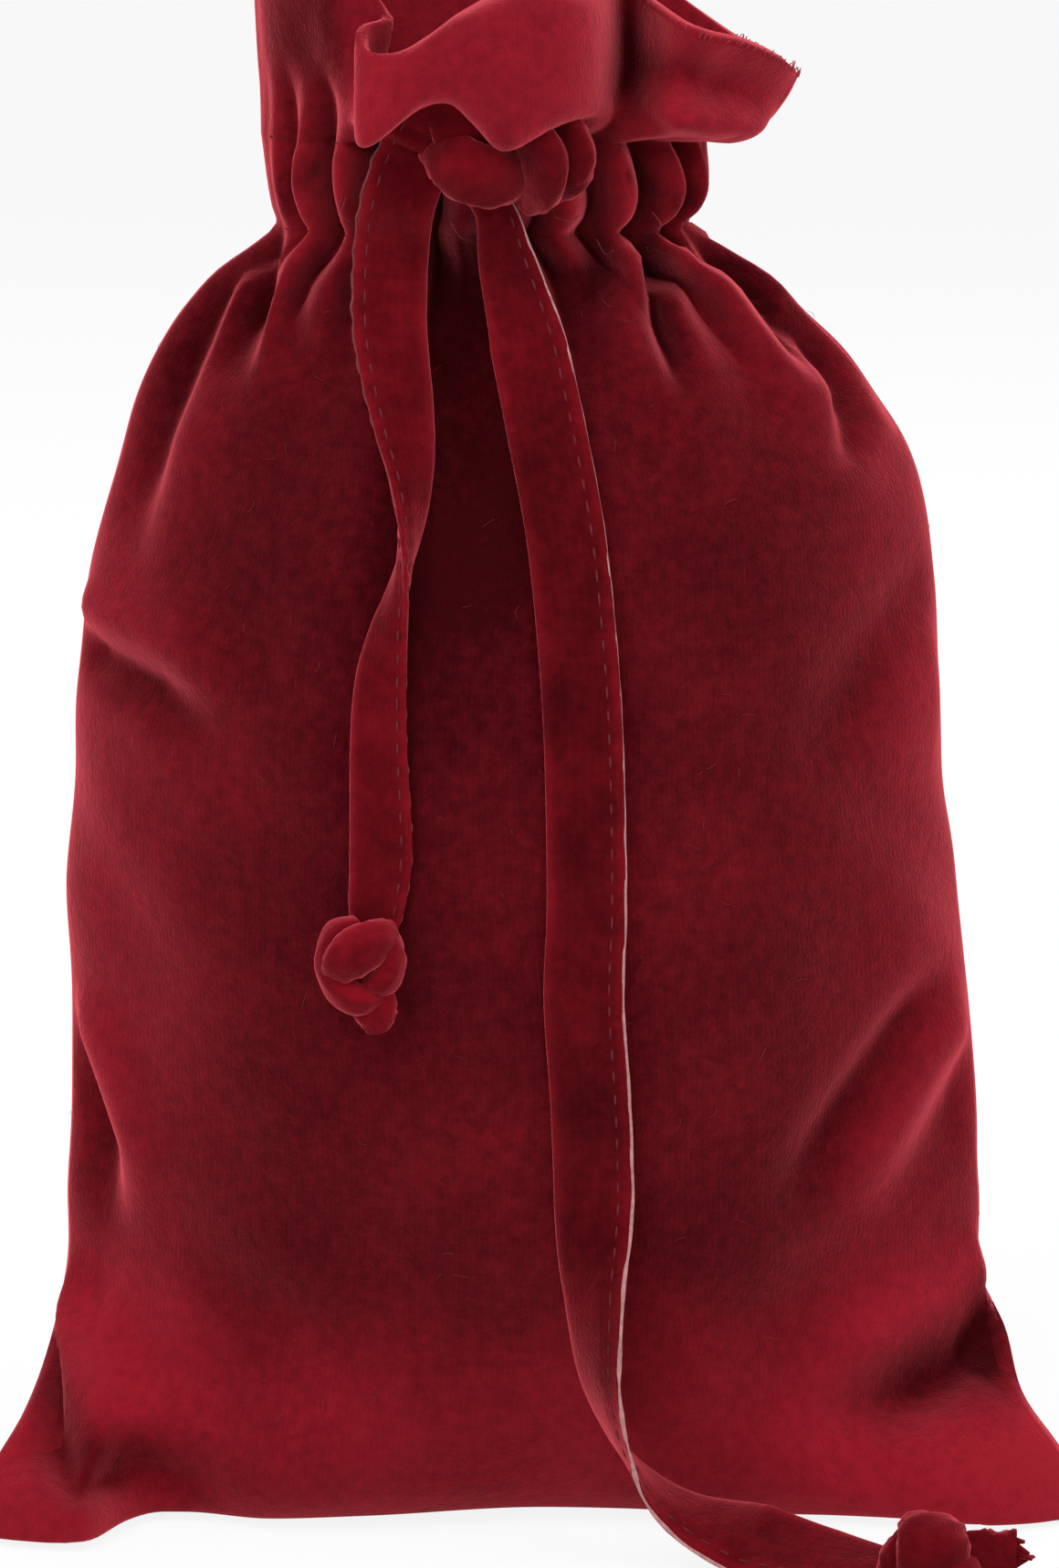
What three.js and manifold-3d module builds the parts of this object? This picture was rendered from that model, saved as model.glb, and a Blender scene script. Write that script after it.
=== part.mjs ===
// Velvet drawstring pouch, filled out and standing on its base, mouth drawn closed.
// Millimetres, +Z up, front towards -Y, floor at Z = 0.
import * as THREE from "three";
import { mergeVertices } from "three/addons/utils/BufferGeometryUtils.js";
import Module from "manifold-3d";

const wasm = await Module();
wasm.setup();

// Driving dimensions of the pouch.
const BASE_WIDTH = 160;
const BODY_WIDTH = 130;
const BODY_DEPTH = 78;
const BODY_HEIGHT = 185;
const CASING_HEIGHT = 13;
const COLLAR_HEIGHT = 34;
const NECK_WIDTH = 62;
const NECK_DEPTH = 34;
const COLLAR_WIDTH = 80;
const COLLAR_DEPTH = 50;
const LEAN = -6;
const CLOTH = 2.4;
const SEWN_EDGE = 3;
const GATHERED_CLOTH = 6;
const GATHER_COUNT = 16;
const GATHER_DEPTH = 1.1;

// Driving dimensions of the ribbon.
const RIBBON_WIDTH = 11;
const RIBBON_THICKNESS = 1.6;
const TUNNEL_WIDTH = 2.2;
const TIE_X = -6;
const TIE_WIDTH = 15;
const KNOT_RADIUS = 6;
const GAP = 0.3;

// How finely the surfaces are divided.
const COLUMNS = 64;
const HOLLOW_COLUMNS = 32;
const ROWS = 22;
const RIBBON_STEPS = 40;

const CASING_TOP = BODY_HEIGHT + CASING_HEIGHT;
const RIM = CASING_TOP + COLLAR_HEIGHT;

/** Size of the pouch at one height: half width, depth to the front or back, how pointed its sides are
 *  (0.5 for an ellipse, above 1 for a lens), thickness of its wall, and share of the full gather depth. */
function station(z, half, deep, point, wall, gather) {
  return { z, half, deep, point, wall, gather };
}

// The pouch from the floor up: ears and flat foot, body, shoulders, casing, flared collar.
const STATIONS = [
  station(0, BASE_WIDTH / 2, 0.3 * BODY_DEPTH, 1.3, CLOTH, 0),
  station(0.03 * BODY_HEIGHT, 0.49 * BASE_WIDTH, 0.37 * BODY_DEPTH, 1.25, CLOTH, 0),
  station(0.1 * BODY_HEIGHT, 0.445 * BASE_WIDTH, 0.43 * BODY_DEPTH, 1, CLOTH, 0),
  station(0.2 * BODY_HEIGHT, 0.51 * BODY_WIDTH, 0.47 * BODY_DEPTH, 0.8, CLOTH, 0),
  station(0.4 * BODY_HEIGHT, 0.5 * BODY_WIDTH, 0.5 * BODY_DEPTH, 0.7, CLOTH, 0),
  station(0.6 * BODY_HEIGHT, 0.482 * BODY_WIDTH, 0.49 * BODY_DEPTH, 0.65, CLOTH, 0),
  station(0.79 * BODY_HEIGHT, 0.448 * BODY_WIDTH, 0.43 * BODY_DEPTH, 0.6, CLOTH, 0.2),
  station(0.9 * BODY_HEIGHT, 0.385 * BODY_WIDTH, 0.35 * BODY_DEPTH, 0.55, 1.25 * CLOTH, 0.7),
  station(BODY_HEIGHT, NECK_WIDTH / 2, NECK_DEPTH / 2, 0.5, GATHERED_CLOTH, 1),
  station(CASING_TOP, NECK_WIDTH / 2, NECK_DEPTH / 2, 0.5, GATHERED_CLOTH, 1),
  station((CASING_TOP + RIM) / 2, 0.47 * COLLAR_WIDTH, 0.44 * COLLAR_DEPTH, 0.5, CLOTH, 1),
  station(RIM, COLLAR_WIDTH / 2, COLLAR_DEPTH / 2, 0.5, CLOTH, 1),
];
const SIZES = STATIONS.map((at) => new THREE.Vector3(at.z, at.half, at.deep));
const WALLS = STATIONS.map((at) => new THREE.Vector3(at.point, at.wall, at.gather));
const SIZE_CURVE = new THREE.CatmullRomCurve3(SIZES);
const WALL_CURVE = new THREE.CatmullRomCurve3(WALLS);
SIZE_CURVE.curveType = "catmullrom";
WALL_CURVE.curveType = "catmullrom";

/** Outline of the pouch at a fraction of the way up its list of stations. */
function outlineAt(fraction) {
  const size = SIZE_CURVE.getPoint(fraction);
  const cloth = WALL_CURVE.getPoint(fraction);
  const z = THREE.MathUtils.clamp(size.x, 0, RIM);
  const centre = LEAN * Math.min(1, z / BODY_HEIGHT);
  const outline = station(z, size.y, size.z, cloth.x, cloth.y, GATHER_DEPTH * cloth.z);
  return { ...outline, centre };
}

/** Outline of the pouch at a height. */
function outlineAtHeight(z) {
  let low = 0;
  let high = 1;
  while (high - low > 1e-4) {
    const middle = (low + high) / 2;
    if (SIZE_CURVE.getPoint(middle).x < z) low = middle;
    else high = middle;
  }
  return outlineAt(low);
}

/** Closed ring of points round an outline at a height, its sides as thick as a sewn edge. */
function ringOf(outline, z) {
  return Array.from({ length: COLUMNS }, (_, column) => {
    const angle = (2 * Math.PI * column) / COLUMNS;
    const ripple = outline.gather * Math.cos(GATHER_COUNT * angle);
    const bulge = Math.abs(Math.sin(angle)) ** (2 * outline.point);
    const deep = SEWN_EDGE / 2 + (outline.deep + ripple - SEWN_EDGE / 2) * bulge;
    const side = Math.abs(Math.sin(angle)) < 1e-6 ? 0 : Math.sign(Math.sin(angle));
    return new THREE.Vector3(outline.centre + (outline.half + ripple) * Math.cos(angle), side * deep, z);
  });
}

/** Closed ring of points inside an outline at a height, drawn in by an inset. */
function innerRingOf(outline, inset, z) {
  const half = outline.half - inset * (1 + outline.point);
  const deep = outline.deep - inset;
  return Array.from({ length: HOLLOW_COLUMNS }, (_, column) => {
    const angle = (2 * Math.PI * column) / HOLLOW_COLUMNS;
    const bulge = Math.abs(Math.sin(angle)) ** (2 * outline.point);
    const y = Math.sign(Math.sin(angle)) * deep * bulge;
    return new THREE.Vector3(outline.centre + half * Math.cos(angle), y, z);
  });
}

/** Solid through a stack of rings, each ring anticlockwise about the way the stack runs. */
function loft(rings) {
  const count = rings[0].length;
  const points = rings.flat();
  const faces = [];
  for (let row = 0; row + 1 < rings.length; row += 1) {
    for (let column = 0; column < count; column += 1) {
      const next = (column + 1) % count;
      const a = row * count + column;
      const b = row * count + next;
      faces.push(a, b, b + count, a, b + count, a + count);
    }
  }
  const last = (rings.length - 1) * count;
  for (let column = 0; column < count / 2; column += 1) {
    const near = column;
    const nearNext = column + 1;
    const opposite = (count - column) % count;
    const oppositeNext = count - column - 1;
    if (near !== opposite) {
      faces.push(near, opposite, nearNext);
      faces.push(last + near, last + nearNext, last + opposite);
    }
    if (nearNext !== oppositeNext) {
      faces.push(nearNext, opposite, oppositeNext);
      faces.push(last + nearNext, last + oppositeNext, last + opposite);
    }
  }
  const geometry = new THREE.BufferGeometry().setFromPoints(points);
  geometry.setIndex(faces);
  return geometry;
}

/** Boolean solid of a closed geometry. */
function solidOf(geometry) {
  const bare = geometry.clone();
  bare.deleteAttribute("normal");
  bare.deleteAttribute("uv");
  const merged = mergeVertices(bare, 1e-4);
  const mesh = new wasm.Mesh({
    numProp: 3,
    vertProperties: new Float32Array(merged.attributes.position.array),
    triVerts: new Uint32Array(merged.index.array),
  });
  return new wasm.Manifold(mesh);
}

/** Geometry of a boolean solid. */
function geometryOf(solid) {
  const mesh = solid.getMesh();
  const geometry = new THREE.BufferGeometry();
  geometry.setAttribute("position", new THREE.BufferAttribute(new Float32Array(mesh.vertProperties), 3));
  geometry.setIndex(new THREE.BufferAttribute(new Uint32Array(mesh.triVerts), 1));
  geometry.computeVertexNormals();
  return geometry;
}

/** Box between two corners, as a boolean solid. */
function boxSolid(low, high) {
  const size = new THREE.Vector3().subVectors(high, low);
  const box = new THREE.BoxGeometry(size.x, size.y, size.z);
  box.translate((low.x + high.x) / 2, (low.y + high.y) / 2, (low.z + high.z) / 2);
  return solidOf(box);
}

// The neck halfway up the casing, where the drawstring runs.
const tieHeight = (BODY_HEIGHT + CASING_TOP) / 2;
const neck = outlineAtHeight(tieHeight);

/** Upright band round the neck between two insets and two heights. */
function neckBand(outerInset, innerInset, bottom, top) {
  const outerRings = [bottom, top].map((z) => innerRingOf(neck, outerInset, z));
  const innerRings = [bottom - 1, top + 1].map((z) => innerRingOf(neck, innerInset, z));
  return solidOf(loft(outerRings)).subtract(solidOf(loft(innerRings)));
}

/** How far the front of the pouch stands forward at a place, as a Y value. */
function frontAt(x, z) {
  const outline = outlineAtHeight(z);
  const side = THREE.MathUtils.clamp((x - outline.centre) / outline.half, -1, 1);
  return -(outline.deep + outline.gather) * (1 - side * side) ** outline.point;
}

/** Point of the ribbon lying on the front, its whole width clear of the cloth by a lift. */
function onFront(x, z, lift) {
  const reach = RIBBON_WIDTH / 2;
  const forward = Math.min(frontAt(x - reach, z), frontAt(x, z), frontAt(x + reach, z));
  return new THREE.Vector3(x, forward - RIBBON_THICKNESS / 2 - lift, z);
}

/** Flat ribbon along a list of points, turned about its own line by an angle at each point. */
function ribbon(points, turns) {
  const path = new THREE.CatmullRomCurve3(points, false, "centripetal");
  const turning = new THREE.CatmullRomCurve3(turns.map((turn) => new THREE.Vector3(turn, 0, 0)));
  const across = new THREE.Vector3(1, 0, 0);
  const rings = [];
  for (let step = 0; step <= RIBBON_STEPS; step += 1) {
    const fraction = step / RIBBON_STEPS;
    const centre = path.getPoint(fraction);
    const along = path.getTangent(fraction);
    across.addScaledVector(along, -across.dot(along)).normalize();
    const angle = THREE.MathUtils.degToRad(turning.getPoint(fraction).x);
    const wide = across.clone().applyAxisAngle(along, angle);
    const thick = new THREE.Vector3().crossVectors(along, wide);
    rings.push(ribbonSection(centre, wide, thick));
  }
  return loft(rings);
}

/** Eight-sided section of the ribbon, its four corners cut off. */
function ribbonSection(centre, wide, thick) {
  const w = RIBBON_WIDTH / 2;
  const t = RIBBON_THICKNESS / 2;
  const corner = 0.6 * t;
  const outline = [
    [w, corner - t],
    [w, t - corner],
    [w - corner, t],
    [corner - w, t],
    [-w, t - corner],
    [-w, corner - t],
    [corner - w, -t],
    [w - corner, -t],
  ];
  return outline.map(([a, b]) => centre.clone().addScaledVector(wide, a).addScaledVector(thick, b));
}

/** Ball stretched to three radii about a centre, as a boolean solid. */
function lumpSolid(centre, radii) {
  const ball = new THREE.SphereGeometry(1, 16, 10);
  ball.scale(radii.x, radii.y, radii.z);
  ball.translate(centre.x, centre.y, centre.z);
  return solidOf(ball);
}

/** Overhand knot: a lump with one turn of the ribbon round it, everywhere larger by a margin. */
function endKnot(centre, margin) {
  const radius = KNOT_RADIUS + margin;
  const core = lumpSolid(centre, new THREE.Vector3(radius, 0.75 * radius, radius));
  const turn = new THREE.TorusGeometry(0.62 * KNOT_RADIUS, 0.42 * KNOT_RADIUS + margin, 6, 14);
  turn.rotateX(Math.PI / 2);
  turn.rotateY(Math.PI / 5);
  turn.translate(centre.x, centre.y, centre.z);
  return core.add(solidOf(turn));
}

// Front and back panel: the filled-out pouch, hollowed, parted at the sewn sides, with the casing's tunnel.
const fractions = Array.from({ length: ROWS + 1 }, (_, row) => row / ROWS);
const outerRings = fractions.map((fraction) => {
  const outline = outlineAt(fraction);
  return ringOf(outline, outline.z);
});
const hollowRings = fractions
  .map((fraction) => outlineAt(fraction))
  .filter((outline) => outline.z > 1.5 * CLOTH)
  .map((outline) => innerRingOf(outline, outline.wall, outline.z));
const rimOutline = outlineAt(1);
hollowRings.push(innerRingOf(rimOutline, rimOutline.wall, RIM + 1));
const tunnelInset = (GATHERED_CLOTH - TUNNEL_WIDTH) / 2;
const tunnelBottom = BODY_HEIGHT + (CASING_HEIGHT - RIBBON_WIDTH) / 2 - GAP;
const tunnelTop = CASING_TOP - (CASING_HEIGHT - RIBBON_WIDTH) / 2 + GAP;
const tunnel = neckBand(tunnelInset, tunnelInset + TUNNEL_WIDTH, tunnelBottom, tunnelTop);
const mouthSlit = boxSolid(
  new THREE.Vector3(TIE_X - TIE_WIDTH / 2, -NECK_DEPTH, tunnelBottom),
  new THREE.Vector3(TIE_X + TIE_WIDTH / 2, tunnelInset + TUNNEL_WIDTH / 2 - neck.deep, tunnelTop),
);
const filledOut = solidOf(loft(outerRings));
const hollow = solidOf(loft(hollowRings));
const pouch = filledOut.subtract(hollow).subtract(tunnel).subtract(mouthSlit);
const far = 2 * (BASE_WIDTH + RIM);
const frontHalf = boxSolid(new THREE.Vector3(-far, -far, -far), new THREE.Vector3(far, -GAP / 2, far));
const backHalf = boxSolid(new THREE.Vector3(-far, GAP / 2, -far), new THREE.Vector3(far, far, far));
const frontPanel = pouch.intersect(frontHalf);
const backPanel = pouch.intersect(backHalf);

// Drawstring inside the casing.
const loopInset = tunnelInset + (TUNNEL_WIDTH - RIBBON_THICKNESS) / 2;
const loop = neckBand(loopInset, loopInset + RIBBON_THICKNESS, tunnelBottom + GAP, tunnelTop - GAP);

// Half knot at the front, with a tongue that runs through the slit to the drawstring.
const tieBack = -NECK_DEPTH / 2 - GATHER_DEPTH - RIBBON_THICKNESS;
const tieCentre = new THREE.Vector3(TIE_X, tieBack - 2 * RIBBON_THICKNESS, tieHeight);
const tieRadii = new THREE.Vector3(0.55 * TIE_WIDTH, 2.75 * RIBBON_THICKNESS, 0.62 * RIBBON_WIDTH);
const tieTongue = boxSolid(
  new THREE.Vector3(TIE_X - TIE_WIDTH / 4, tieCentre.y, tunnelBottom + 2 * GAP),
  new THREE.Vector3(TIE_X + TIE_WIDTH / 4, loopInset - neck.deep - GAP, tunnelTop - 2 * GAP),
);
const tie = lumpSolid(tieCentre, tieRadii).add(tieTongue);
const tieGrown = lumpSolid(tieCentre, tieRadii.clone().addScalar(GAP));

// Left tail, given by how far it hangs below the half knot: down the front to its end knot.
const leftRoute = [
  new THREE.Vector3(TIE_X - 9, tieCentre.y - 1.5, tieHeight + 8),
  new THREE.Vector3(TIE_X - 11, tieCentre.y - 2, tieHeight + 3),
  new THREE.Vector3(TIE_X - 12.5, tieCentre.y - 1.5, tieHeight - 2),
  onFront(-19.2, tieHeight - 7, 4),
  onFront(-19.5, tieHeight - 12, 3.4),
  onFront(-19.5, tieHeight - 18, 2.6),
  onFront(-18.8, tieHeight - 24, 1.8),
  onFront(-17.6, tieHeight - 31, 1.5),
  onFront(-16.7, tieHeight - 37, 1.5),
  onFront(-16.6, tieHeight - 43, 1.5),
  onFront(-17.2, tieHeight - 49, 1.5),
  onFront(-18.5, tieHeight - 55, 1.5),
  onFront(-19.9, tieHeight - 61, 1.5),
  onFront(-20.8, tieHeight - 68, 0.6),
  onFront(-21, tieHeight - 76, 0.6),
  onFront(-20.8, tieHeight - 84, 0.6),
  onFront(-20.8, tieHeight - 92, 0.6),
  onFront(-22, tieHeight - 103, 1.5),
];
const leftKnotCentre = onFront(-23.4, tieHeight - 107, 0.75 * KNOT_RADIUS);
const leftKnotGrown = endKnot(leftKnotCentre, GAP);
const leftTurns = leftRoute.map(() => 0);
const leftTail = solidOf(ribbon(leftRoute, leftTurns)).subtract(leftKnotGrown).subtract(tieGrown);

// Right tail, given by shares of the half knot's height: down the front, then clear of the receding foot of
// the pouch to the floor, where it turns over onto its sewn edge and runs to the right.
const floorLine = RIBBON_THICKNESS / 2 + GAP;
const bulge = -BODY_DEPTH / 2;
const rightRoute = [
  new THREE.Vector3(TIE_X + 1.2, tieCentre.y - 0.5, tieHeight - 2.5),
  new THREE.Vector3(TIE_X + 2.8, tieCentre.y - 2.5, tieHeight - 9.5),
  onFront(TIE_X + 5.5, tieHeight - 19.5, 1.5),
  onFront(2.6, 0.825 * tieHeight, 0.6),
  onFront(5, 0.76 * tieHeight, 0.6),
  onFront(6.5, 0.69 * tieHeight, 0.6),
  onFront(7.4, 0.625 * tieHeight, 0.6),
  onFront(7.8, 0.55 * tieHeight, 0.6),
  onFront(7.9, 0.485 * tieHeight, 0.6),
  onFront(7.5, 0.42 * tieHeight, 0.6),
  onFront(8.4, 0.345 * tieHeight, 0.6),
  onFront(8.9, 0.275 * tieHeight, 1.2),
  new THREE.Vector3(9, bulge - 3, 0.205 * tieHeight),
  new THREE.Vector3(9.7, bulge - 2.5, 0.14 * tieHeight),
  new THREE.Vector3(12.8, bulge - 1.8, 17),
  new THREE.Vector3(17.6, bulge - 2.5, floorLine + 9.3),
  new THREE.Vector3(24.6, bulge - 6, floorLine + 5.7),
  new THREE.Vector3(38, bulge - 16, floorLine + 4.1),
  new THREE.Vector3(53, bulge - 22.5, floorLine + 3.5),
];
const rightTurns = [0, 0, 0, 0, 0, 0, 0, 0, 0, 0, 0, 6, 40, 56, 76, 110, 150, 125, 110];
const rightKnotCentre = new THREE.Vector3(58, bulge - 23, KNOT_RADIUS + 2 * GAP);
const rightKnotGrown = endKnot(rightKnotCentre, GAP);
const rightTail = solidOf(ribbon(rightRoute, rightTurns)).subtract(rightKnotGrown).subtract(tieGrown);

const velvet = new THREE.MeshStandardMaterial({ color: 0x650d18, roughness: 0.95, metalness: 0 });
const ribbonVelvet = new THREE.MeshStandardMaterial({ color: 0x5c0b16, roughness: 0.95, metalness: 0 });

/** One named piece of the pouch. */
function piece(name, solid, material) {
  const mesh = new THREE.Mesh(geometryOf(solid), material);
  mesh.name = name;
  return mesh;
}

const group = new THREE.Group();
group.add(
  piece("front_panel", frontPanel, velvet),
  piece("back_panel", backPanel, velvet),
  piece("drawstring_loop", loop, ribbonVelvet),
  piece("tie_knot", tie, ribbonVelvet),
  piece("left_tail", leftTail, ribbonVelvet),
  piece("left_end_knot", endKnot(leftKnotCentre, 0), ribbonVelvet),
  piece("right_tail", rightTail, ribbonVelvet),
  piece("right_end_knot", endKnot(rightKnotCentre, 0), ribbonVelvet),
);

export default group;
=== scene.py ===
"""Velvet drawstring pouch, filled out and standing, its mouth drawn closed by a folded velvet ribbon."""

import logging
import math
from dataclasses import dataclass, field, replace
from enum import Enum
from typing import Any, ClassVar, Optional, Sequence, Union

import bpy
import numpy as np
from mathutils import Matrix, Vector


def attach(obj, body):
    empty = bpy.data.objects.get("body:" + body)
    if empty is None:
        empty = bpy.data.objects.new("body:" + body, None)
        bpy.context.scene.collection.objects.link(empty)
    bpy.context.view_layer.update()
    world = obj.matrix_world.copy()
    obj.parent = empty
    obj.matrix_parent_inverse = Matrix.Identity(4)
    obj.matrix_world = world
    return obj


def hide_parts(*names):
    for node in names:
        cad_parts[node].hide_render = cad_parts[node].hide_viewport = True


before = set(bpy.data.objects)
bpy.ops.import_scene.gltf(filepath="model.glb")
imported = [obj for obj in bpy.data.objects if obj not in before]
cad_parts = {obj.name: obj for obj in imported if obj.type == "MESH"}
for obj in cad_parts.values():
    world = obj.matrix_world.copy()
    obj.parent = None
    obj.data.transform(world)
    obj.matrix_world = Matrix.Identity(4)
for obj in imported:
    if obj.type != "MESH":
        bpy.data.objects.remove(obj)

LOG = logging.getLogger("pouch")
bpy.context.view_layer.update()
MM = 0.001
# Name of the mesh attribute that carries painted light and shade, with some random tone, into the velvet's base
# colour.
PAINTED_LIGHT_NAME = "nap"
MOUTH_X = -6.0
MOUTH_FLATNESS = 2.4

Array = np.ndarray
Colour = tuple[float, float, float]
Point = tuple[float, float, float]
Skin = tuple[Array, list[list[int]]]

# Routes of the ribbon's two tails, in metres, from the half knot to each end knot.
LEFT_ROUTE = (
    (-0.0150, -0.0244, 0.1995),
    (-0.0170, -0.0249, 0.1945),
    (-0.0185, -0.0244, 0.1895),
    (-0.0192, -0.0225, 0.1845),
    (-0.0195, -0.0244, 0.1795),
    (-0.0195, -0.0273, 0.1735),
    (-0.0188, -0.0299, 0.1675),
    (-0.0176, -0.0323, 0.1605),
    (-0.0167, -0.0341, 0.1545),
    (-0.0166, -0.0354, 0.1485),
    (-0.0172, -0.0364, 0.1425),
    (-0.0185, -0.0372, 0.1365),
    (-0.0199, -0.0378, 0.1305),
    (-0.0208, -0.0376, 0.1235),
    (-0.0210, -0.0384, 0.1155),
    (-0.0208, -0.0390, 0.1075),
    (-0.0208, -0.0393, 0.0995),
    (-0.0220, -0.0402, 0.0885),
)
RIGHT_ROUTE = (
    (-0.0048, -0.0234, 0.1890),
    (-0.0032, -0.0254, 0.1820),
    (-0.0005, -0.0276, 0.1720),
    (0.0026, -0.0325, 0.1580),
    (0.0050, -0.0352, 0.1455),
    (0.0065, -0.0372, 0.1321),
    (0.0074, -0.0386, 0.1197),
    (0.0078, -0.0398, 0.1053),
    (0.0079, -0.0402, 0.0929),
    (0.0075, -0.0404, 0.0804),
    (0.0084, -0.0400, 0.0661),
    (0.0089, -0.0398, 0.0527),
    (0.0090, -0.0420, 0.0393),
    (0.0097, -0.0415, 0.0268),
    (0.0128, -0.0408, 0.0170),
    (0.0176, -0.0415, 0.0104),
    (0.0246, -0.0450, 0.0068),
    (0.0380, -0.0550, 0.0052),
    (0.0530, -0.0615, 0.0046),
)
# Starts of the two tails, hidden under the collar and the half knot, in millimetres.
LEFT_LEAD = ((-11.6, -25.4, 205.4), (-13.2, -25.2, 202.6))
RIGHT_LEAD = ((-7.6, -23.6, 192.8),)
# Ends of thread left loose along the casing, across and up, in millimetres.
LOOSE_ENDS = (
    ((-25.6, 191.0), (-26.2, 188.6), (-24.8, 187.0)),
    ((-11.0, 187.6), (-9.6, 185.4), (-7.6, 184.6), (-7.4, 183.0)),
    ((3.4, 188.4), (5.4, 187.8), (7.0, 188.6)),
    ((9.4, 184.6), (10.6, 182.6), (11.8, 183.4)),
    ((17.2, 188.2), (18.4, 186.6), (18.0, 184.8)),
)


def smooth(low: float, high: float, value: Any) -> Any:
    """Smooth step.

    Args:
        low: Value below which the step is 0.
        high: Value above which the step is 1.
        value: Number or array.

    Returns:
        The step at each value.
    """
    share = np.clip((value - low) / (high - low), 0.0, 1.0)
    return share * share * (3.0 - 2.0 * share)


@dataclass(frozen=True)
class Span:
    """Stretch of places over which something comes in, from none at its low end to all at its high end."""

    low: float
    high: float

    def share(self, value: Any) -> Any:
        """How much has come in at a value, or at each of an array."""
        return smooth(self.low, self.high, value)


def unit(vectors: Array) -> Array:
    """Vectors scaled to length 1."""
    return vectors / np.maximum(np.linalg.norm(vectors, axis=-1, keepdims=True), 1e-9)


def millimetres(route: Sequence[Sequence[float]]) -> Array:
    """A route in millimetres."""
    return np.array(route) / MM


def distances(points: Array) -> Array:
    """Distance of each point along the line through them."""
    return np.concatenate([[0.0], np.cumsum(np.linalg.norm(np.diff(points, axis=0), axis=1))])


def sampled(values: Array, length: Array, spots: Array) -> Array:
    """Points or vectors of a line, read at distances along it.

    Args:
        values: One point or vector for each point of the line.
        length: Distance of each along the line.
        spots: Distances that are asked for.

    Returns:
        The point or vector at each.
    """
    return np.stack([np.interp(spots, length, values[:, axis]) for axis in range(3)], axis=1)


def curve_through(points: Array, count: int) -> Array:
    """Smooth line through points, at equal steps of its length.

    Args:
        points: Points the line goes through.
        count: Number of points returned.

    Returns:
        Points on the line.
    """
    ends = np.vstack([2 * points[0] - points[1], points, 2 * points[-1] - points[-2]])
    share = np.linspace(0.0, 1.0, 24, endpoint=False)[:, None]
    pieces = []
    for before, start, end, after in zip(ends, ends[1:], ends[2:], ends[3:]):
        tilt = 0.5 * (end - before)
        bend = before - 2.5 * start + 2 * end - 0.5 * after
        twist = 0.5 * (after - before) + 1.5 * (start - end)
        pieces.append(start + share * (tilt + share * (bend + share * twist)))
    dense = np.vstack(pieces + [points[-1:]])
    length = distances(dense)
    return sampled(dense, length, np.linspace(0.0, length[-1], count))


def drift(share: Array, seed: int, waves: Sequence[int] = (1, 2, 3)) -> Array:
    """Slow uneven wandering between about -1 and 1.

    Args:
        share: Place along the line, 0 to 1.
        seed: Seed of the wandering.
        waves: Number of waves of each part.

    Returns:
        The wandering at each place.
    """
    source = np.random.default_rng(seed)
    total = np.zeros_like(share)
    for count in waves:
        total = total + source.uniform(-1, 1) / count * np.sin(2 * np.pi * (count * share + source.uniform()))
    return total


def carried(direction: Sequence[float], tangent: Array) -> Array:
    """A direction carried along a line and kept square to it.

    Args:
        direction: The direction at the start.
        tangent: Direction of the line at each point.

    Returns:
        The direction at each point.
    """
    kept = np.zeros_like(tangent)
    current = np.array(direction, dtype=float)
    for step, ahead in enumerate(tangent):
        current = current - ahead * (current @ ahead)
        current = current / np.linalg.norm(current)
        kept[step] = current
    return kept


def hoops(first: Array, second: Array, sides: int) -> Array:
    """Circles across a line, one at each of its points.

    Args:
        first: One radius of the circle at each point.
        second: The radius square to it.
        sides: Number of points round each circle.

    Returns:
        Offsets from the line, by point and by place round the circle.
    """
    angle = np.linspace(0, 2 * np.pi, sides, endpoint=False)
    return np.cos(angle)[None, :, None] * first[:, None] + np.sin(angle)[None, :, None] * second[:, None]


def from_mouth(points: Array, flatness: float = MOUTH_FLATNESS) -> Array:
    """Level directions away from the middle of the mouth.

    Args:
        points: Points in millimetres.
        flatness: How much more the depth counts than the width.

    Returns:
        A unit vector at each point.
    """
    return unit((points - np.array([MOUTH_X, 0.0, 0.0])) * np.array([1.0, flatness, 0.0]))


def bent(places: Array, values: Array, at: Any) -> Any:
    """Values between places, along a smooth line with no corners.

    Args:
        places: Places in order.
        values: Number or point at each.
        at: Place or places that are asked for.

    Returns:
        The value at each.
    """
    slopes = np.gradient(values, places, axis=0, edge_order=1)
    held = np.clip(at, places[0], places[-1])
    index = np.clip(np.searchsorted(places, held, side="right") - 1, 0, len(places) - 2)
    step = places[index + 1] - places[index]
    share = (held - places[index]) / step
    if values.ndim > 1:
        step, share = step[..., None], share[..., None]
    rest = 1 - share
    ends = values[index] * rest * rest * (1 + 2 * share) + values[index + 1] * share * share * (1 + 2 * rest)
    return ends + step * share * rest * (slopes[index] * rest - slopes[index + 1] * share)


def read(table: Sequence[Any], key: str, value: str, at: Any) -> Any:
    """Value of a table of sections at a place between them.

    Args:
        table: Sections in order.
        key: Field that gives their place.
        value: Field that is read.
        at: Place or places.

    Returns:
        The value there.
    """
    places = np.array([getattr(row, key) for row in table], dtype=float)
    return bent(places, np.array([getattr(row, value) for row in table], dtype=float), at)


def eased(values: Array, reach: int) -> Array:
    """A line of values with its corners rounded.

    Args:
        values: The values, one row for each place.
        reach: How many places each side count.

    Returns:
        The rounded values.
    """
    kernel = np.hanning(2 * reach + 3)[1:-1]
    kernel /= kernel.sum()
    padded = np.pad(values, [(reach, reach)] + [(0, 0)] * (values.ndim - 1), mode="reflect", reflect_type="odd")
    return np.apply_along_axis(lambda line: np.convolve(line, kernel, mode="valid"), 0, padded)


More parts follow.
